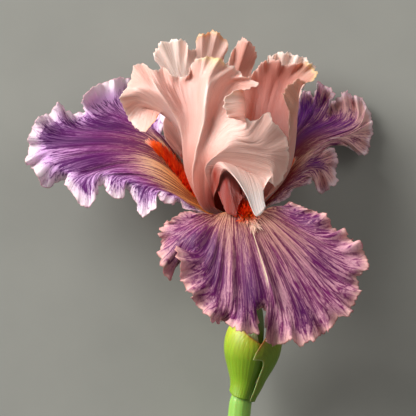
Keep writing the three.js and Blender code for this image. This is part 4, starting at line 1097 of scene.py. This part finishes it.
def lean_at(heights):
    """Where the middle of the leaning stem is, as (x, z), at each height."""
    share = (np.asarray(heights, float) - LEAN_HEIGHTS[0]) / (LEAN_HEIGHTS[-1] - LEAN_HEIGHTS[0])
    return curve(LEAN, share, LEAN_HEIGHTS)


def turned(profile, sides, rib, ribs):
    """A profile of (radius, height) turned round the leaning stem, with shallow ribs."""
    profile = np.asarray(profile, float)
    turns = 2 * math.pi * np.arange(sides) / sides
    radius = profile[:, :1] * (1 + rib * np.cos(ribs * turns)[None])
    middle = lean_at(profile[:, 1])
    x = middle[:, :1] + radius * np.cos(turns)
    z = middle[:, 1:] + radius * np.sin(turns)
    y = np.repeat(profile[:, 1:], sides, axis=1)
    maps = np.stack([np.tile(np.arange(sides) / sides, len(profile)), y.ravel() / 100], axis=1)
    return np.stack([x, y, z], axis=-1).reshape(-1, 3), tube_faces(len(profile), sides), maps


def finely(profile, steps):
    """A profile with more points, its first and last kept."""
    profile = np.asarray(profile, float)
    run = np.concatenate([[0], np.cumsum(np.linalg.norm(np.diff(profile, axis=0), axis=1))])
    t = np.linspace(0, run[-1], steps)
    return np.stack([np.interp(t, run, profile[:, i]) for i in (0, 1)], axis=1)


# %% Green finishes


def green_finish(name, **sockets):
    """The colour carried by the mesh, with soft lengthwise streaks."""
    material, tree, shader = new_finish(name, **sockets)
    streaks = stretched_noise(tree, 60, 1.5, 3, 4.4)
    shade = put(tree, "MapRange", {0: streaks, 1: 0.0, 2: 1.0, 3: 0.86, 4: 1.08}).outputs[0]
    dress(tree, shader, scaled_colour(tree, carried(tree, "ground", "Color"), shade), streaks, 0.25, 0.0003)
    return material


stem_finish = green_finish("stem_finish", Roughness=0.42, Subsurface_Weight=0.3, Subsurface_Scale=0.002,
                           Coat_Weight=0.08)
spathe_finish = green_finish("spathe_finish", Roughness=0.42, Subsurface_Weight=0.3, Subsurface_Scale=0.002)
STEM_GREEN = seen(0.55, 0.74, 0.31)
OVARY_GREEN = seen(0.4, 0.48, 0.24)
TUBE_SHADE_RED = seen(0.4, 0.14, 0.07)
LEAF_GREEN = seen(0.5, 0.64, 0.1)
DARK_LEAF = seen(0.43, 0.56, 0.1)
DEEP_LEAF_AND_SHADE = seen(0.26, 0.42, 0.04)
RIPE_YELLOW = seen(0.76, 0.81, 0.2)
RIPE_OLIVE = seen(0.5, 0.59, 0.12)
PITH = seen(0.8, 0.86, 0.62)
ROUND_SIDES = 64

# %% The stem
STEM_RADIUS = 4.5
STEM_CUT = -150
STEM_TOP = -61.35
stem_profile = np.vstack([
    [(0.4, STEM_CUT + 0.15), (1.5, STEM_CUT + 0.05), (3, STEM_CUT), (STEM_RADIUS - 0.3, STEM_CUT),
     (STEM_RADIUS - 0.08, STEM_CUT + 0.2)],
    finely([(STEM_RADIUS, STEM_CUT + 0.5), (STEM_RADIUS, -74), (4.1, -70), (4.1, -66), (4, STEM_TOP)], 90),
])
points, faces, maps = turned(stem_profile, ROUND_SIDES, 0.012, 9)
cut = points[:, 1] < STEM_CUT + 0.3
green = toward(np.tile(STEM_GREEN, (len(points), 1)), PITH, 0.85 * cut)
piece("stalk", points, faces, stem_finish, "stem", maps, {"ground": green})

# %% The ovary and the tube
OVARY_FOOT = -61
TUBE_TOP = -0.8
OVARY_PROFILE = [
    [4, OVARY_FOOT], [4.6, -56], [4.8, -50], [4.7, -44], [4.2, -38], [3.4, -33],
    [3.1, -26], [3.2, -18], [3.8, -10], [5, -4], [6.2, TUBE_TOP - 0.8], [6.2, TUBE_TOP],
]
points, faces, maps = turned(finely(OVARY_PROFILE, 80), ROUND_SIDES, 0.03, 6)
# The tube's top turns dark red-brown: painted shade of the throat.
green = toward(np.tile(OVARY_GREEN, (len(points), 1)), TUBE_SHADE_RED, smooth(-30, -8, points[:, 1]))
piece("ovary", points, faces, stem_finish, "ovary_tube", maps, {"ground": green})

# %% [markdown]
# A bract is drawn flat, as angle round the stem against height, and then wrapped round a swelling body. That
# makes its pointed outline easy to draw, which it would not be on the round shape itself. The left bract's
# lower edge slips on under the right one, so that no light shows between them.

# %% The spathe's bracts
SPATHE_LEFT = {
    "swell": [[-75, 5.25], [-70, 5.3], [-67, 5.7], [-60, 8.4], [-56, 9.8], [-51.5, 10.4], [-47, 9.9],
        [-43, 8.4], [-40, 7]],
    "reach": [0, 12, 24, 30],
    "rows": [
        [[72, -73.5], [90, -73.2], [135, -71.5], [180, -69.8], [230, -71], [288, -73]],
        [[64, -62], [110, -62], [180, -61], [240, -61], [292, -62]],
        [[56, -56], [90, -52], [130, -48.5], [180, -47], [240, -48.5], [300, -54]],
        [[52, -53.5], [70, -50.8], [90, -48.4], [112, -45.6], [150, -43.2], [190, -42.6], [225, -43.5],
            [262, -46.4], [302, -52]],
    ],
}
SPATHE_RIGHT = {
    "swell": [[-76, 5.25], [-74, 5.4], [-70, 6.5], [-66, 7.5], [-60, 10], [-56, 11.4], [-51.5, 12],
        [-47, 11.5], [-43, 10.1]],
    "reach": [0, 10, 20, 28],
    "rows": [
        [[48, -74.2], [20, -74.2], [-20, -74], [-50, -73.8]],
        [[55, -65], [25, -65.5], [-20, -65.5], [-54, -65]],
        [[62, -58], [45, -56], [0, -55], [-45, -56], [-76, -58.5]],
        [[84, -57.2], [80, -54.4], [70, -50.8], [60, -48.2], [40, -45.8], [10, -45], [-25, -46.6],
            [-55, -50], [-80, -55]],
    ],
}
INNER_BRACT = {
    "swell": [[-62, 4.9], [-57, 5.6], [-51, 6.2], [-45, 6], [-40, 5.4]],
    "reach": [0, 10, 18],
    "rows": [
        [[62, -60.5], [130, -60.5], [215, -60.5]],
        [[60, -52], [130, -51], [212, -52]],
        [[72, -46.5], [95, -43.4], [135, -41.6], [170, -42.6], [200, -47]],
    ],
}
BRACT_GRID = (120, 60)
BRACT_THICK = 0.75
BRACT_THIN = 0.3
BRACT_RIBS = 34
BROWN_HEIGHTS = (-57, -51)  # a bract's edge isn't dry below the first and is brown above the second


def bract(name, valve, node, green, ripe, browned, tuck=0, deep=0.0):
    """A bract's closed skin. tuck is how many degrees its first edge's foot slips on under the bract beside
    it, and deep is how far that side turns to a deeper green: partly the bract's own colour, partly painted
    shade where it turns from the lamp and lies under the other bract."""
    across, outward = BRACT_GRID
    grid = sheet_grid(valve, across, outward)
    v, u = ways(outward, across)
    turn = grid[..., 0] - tuck * (1 - v) ** 0.7 * (1 - smooth(0, 0.4, u))
    angle, height = np.radians(turn), grid[..., 1]
    heights = [h for h, _ in valve["swell"]]
    share = np.clip((height - heights[0]) / (heights[-1] - heights[0]), 0, 1)
    radius = curve(valve["swell"], share.ravel(), heights)[:, 1].reshape(share.shape)
    radius = radius + 0.03 * np.sin(BRACT_RIBS * angle)
    middle = lean_at(height.ravel()).reshape(*height.shape, 2)
    grid = np.stack([middle[..., 0] + radius * np.cos(angle), height,
                     middle[..., 1] + radius * np.sin(angle)], axis=-1)
    edge = edge_distance(grid)
    points, faces, maps = skin(grid, BRACT_THIN + (BRACT_THICK - BRACT_THIN) * smooth(0, 3, edge))
    fresh = along_scale(v.ravel(), [(0, green), (0.55, green), (0.95, ripe), (1, ripe)])
    high = smooth(*BROWN_HEIGHTS, height)
    # Partly painted shade: the side that turns from the lamp and lies under the other bract goes a deeper
    # green.
    fresh = toward(fresh, DEEP_LEAF_AND_SHADE, (deep * (1 - smooth(60, 100, turn)) * (1 - 0.6 * high)).ravel())
    fresh = toward(fresh, PITH, (0.5 * (1 - smooth(0, 0.7, edge)) * (1 - high)).ravel())
    dry = 0.7 * (1 - smooth(0.1, 0.9, edge)) + 0.25 * (1 - smooth(0.5, 2.5, edge))
    dried = toward(fresh, browned, (dry * high).ravel())
    piece(name, points, faces, spathe_finish, node, maps, {"ground": np.tile(dried, (2, 1))})


bract("bract_left", SPATHE_LEFT, "spathe_left", LEAF_GREEN, RIPE_YELLOW, seen(0.72, 0.48, 0.2),
      tuck=22, deep=0.75)
# The right bract is a darker green and olive than the left: partly its own colour, partly painted shade on
# the side away from the lamp.
bract("bract_right", SPATHE_RIGHT, "spathe_right", DARK_LEAF, RIPE_OLIVE, seen(0.66, 0.42, 0.18))
bract("bract_inner", INNER_BRACT, "inner_bract", PITH, PITH, seen(0.85, 0.82, 0.7))
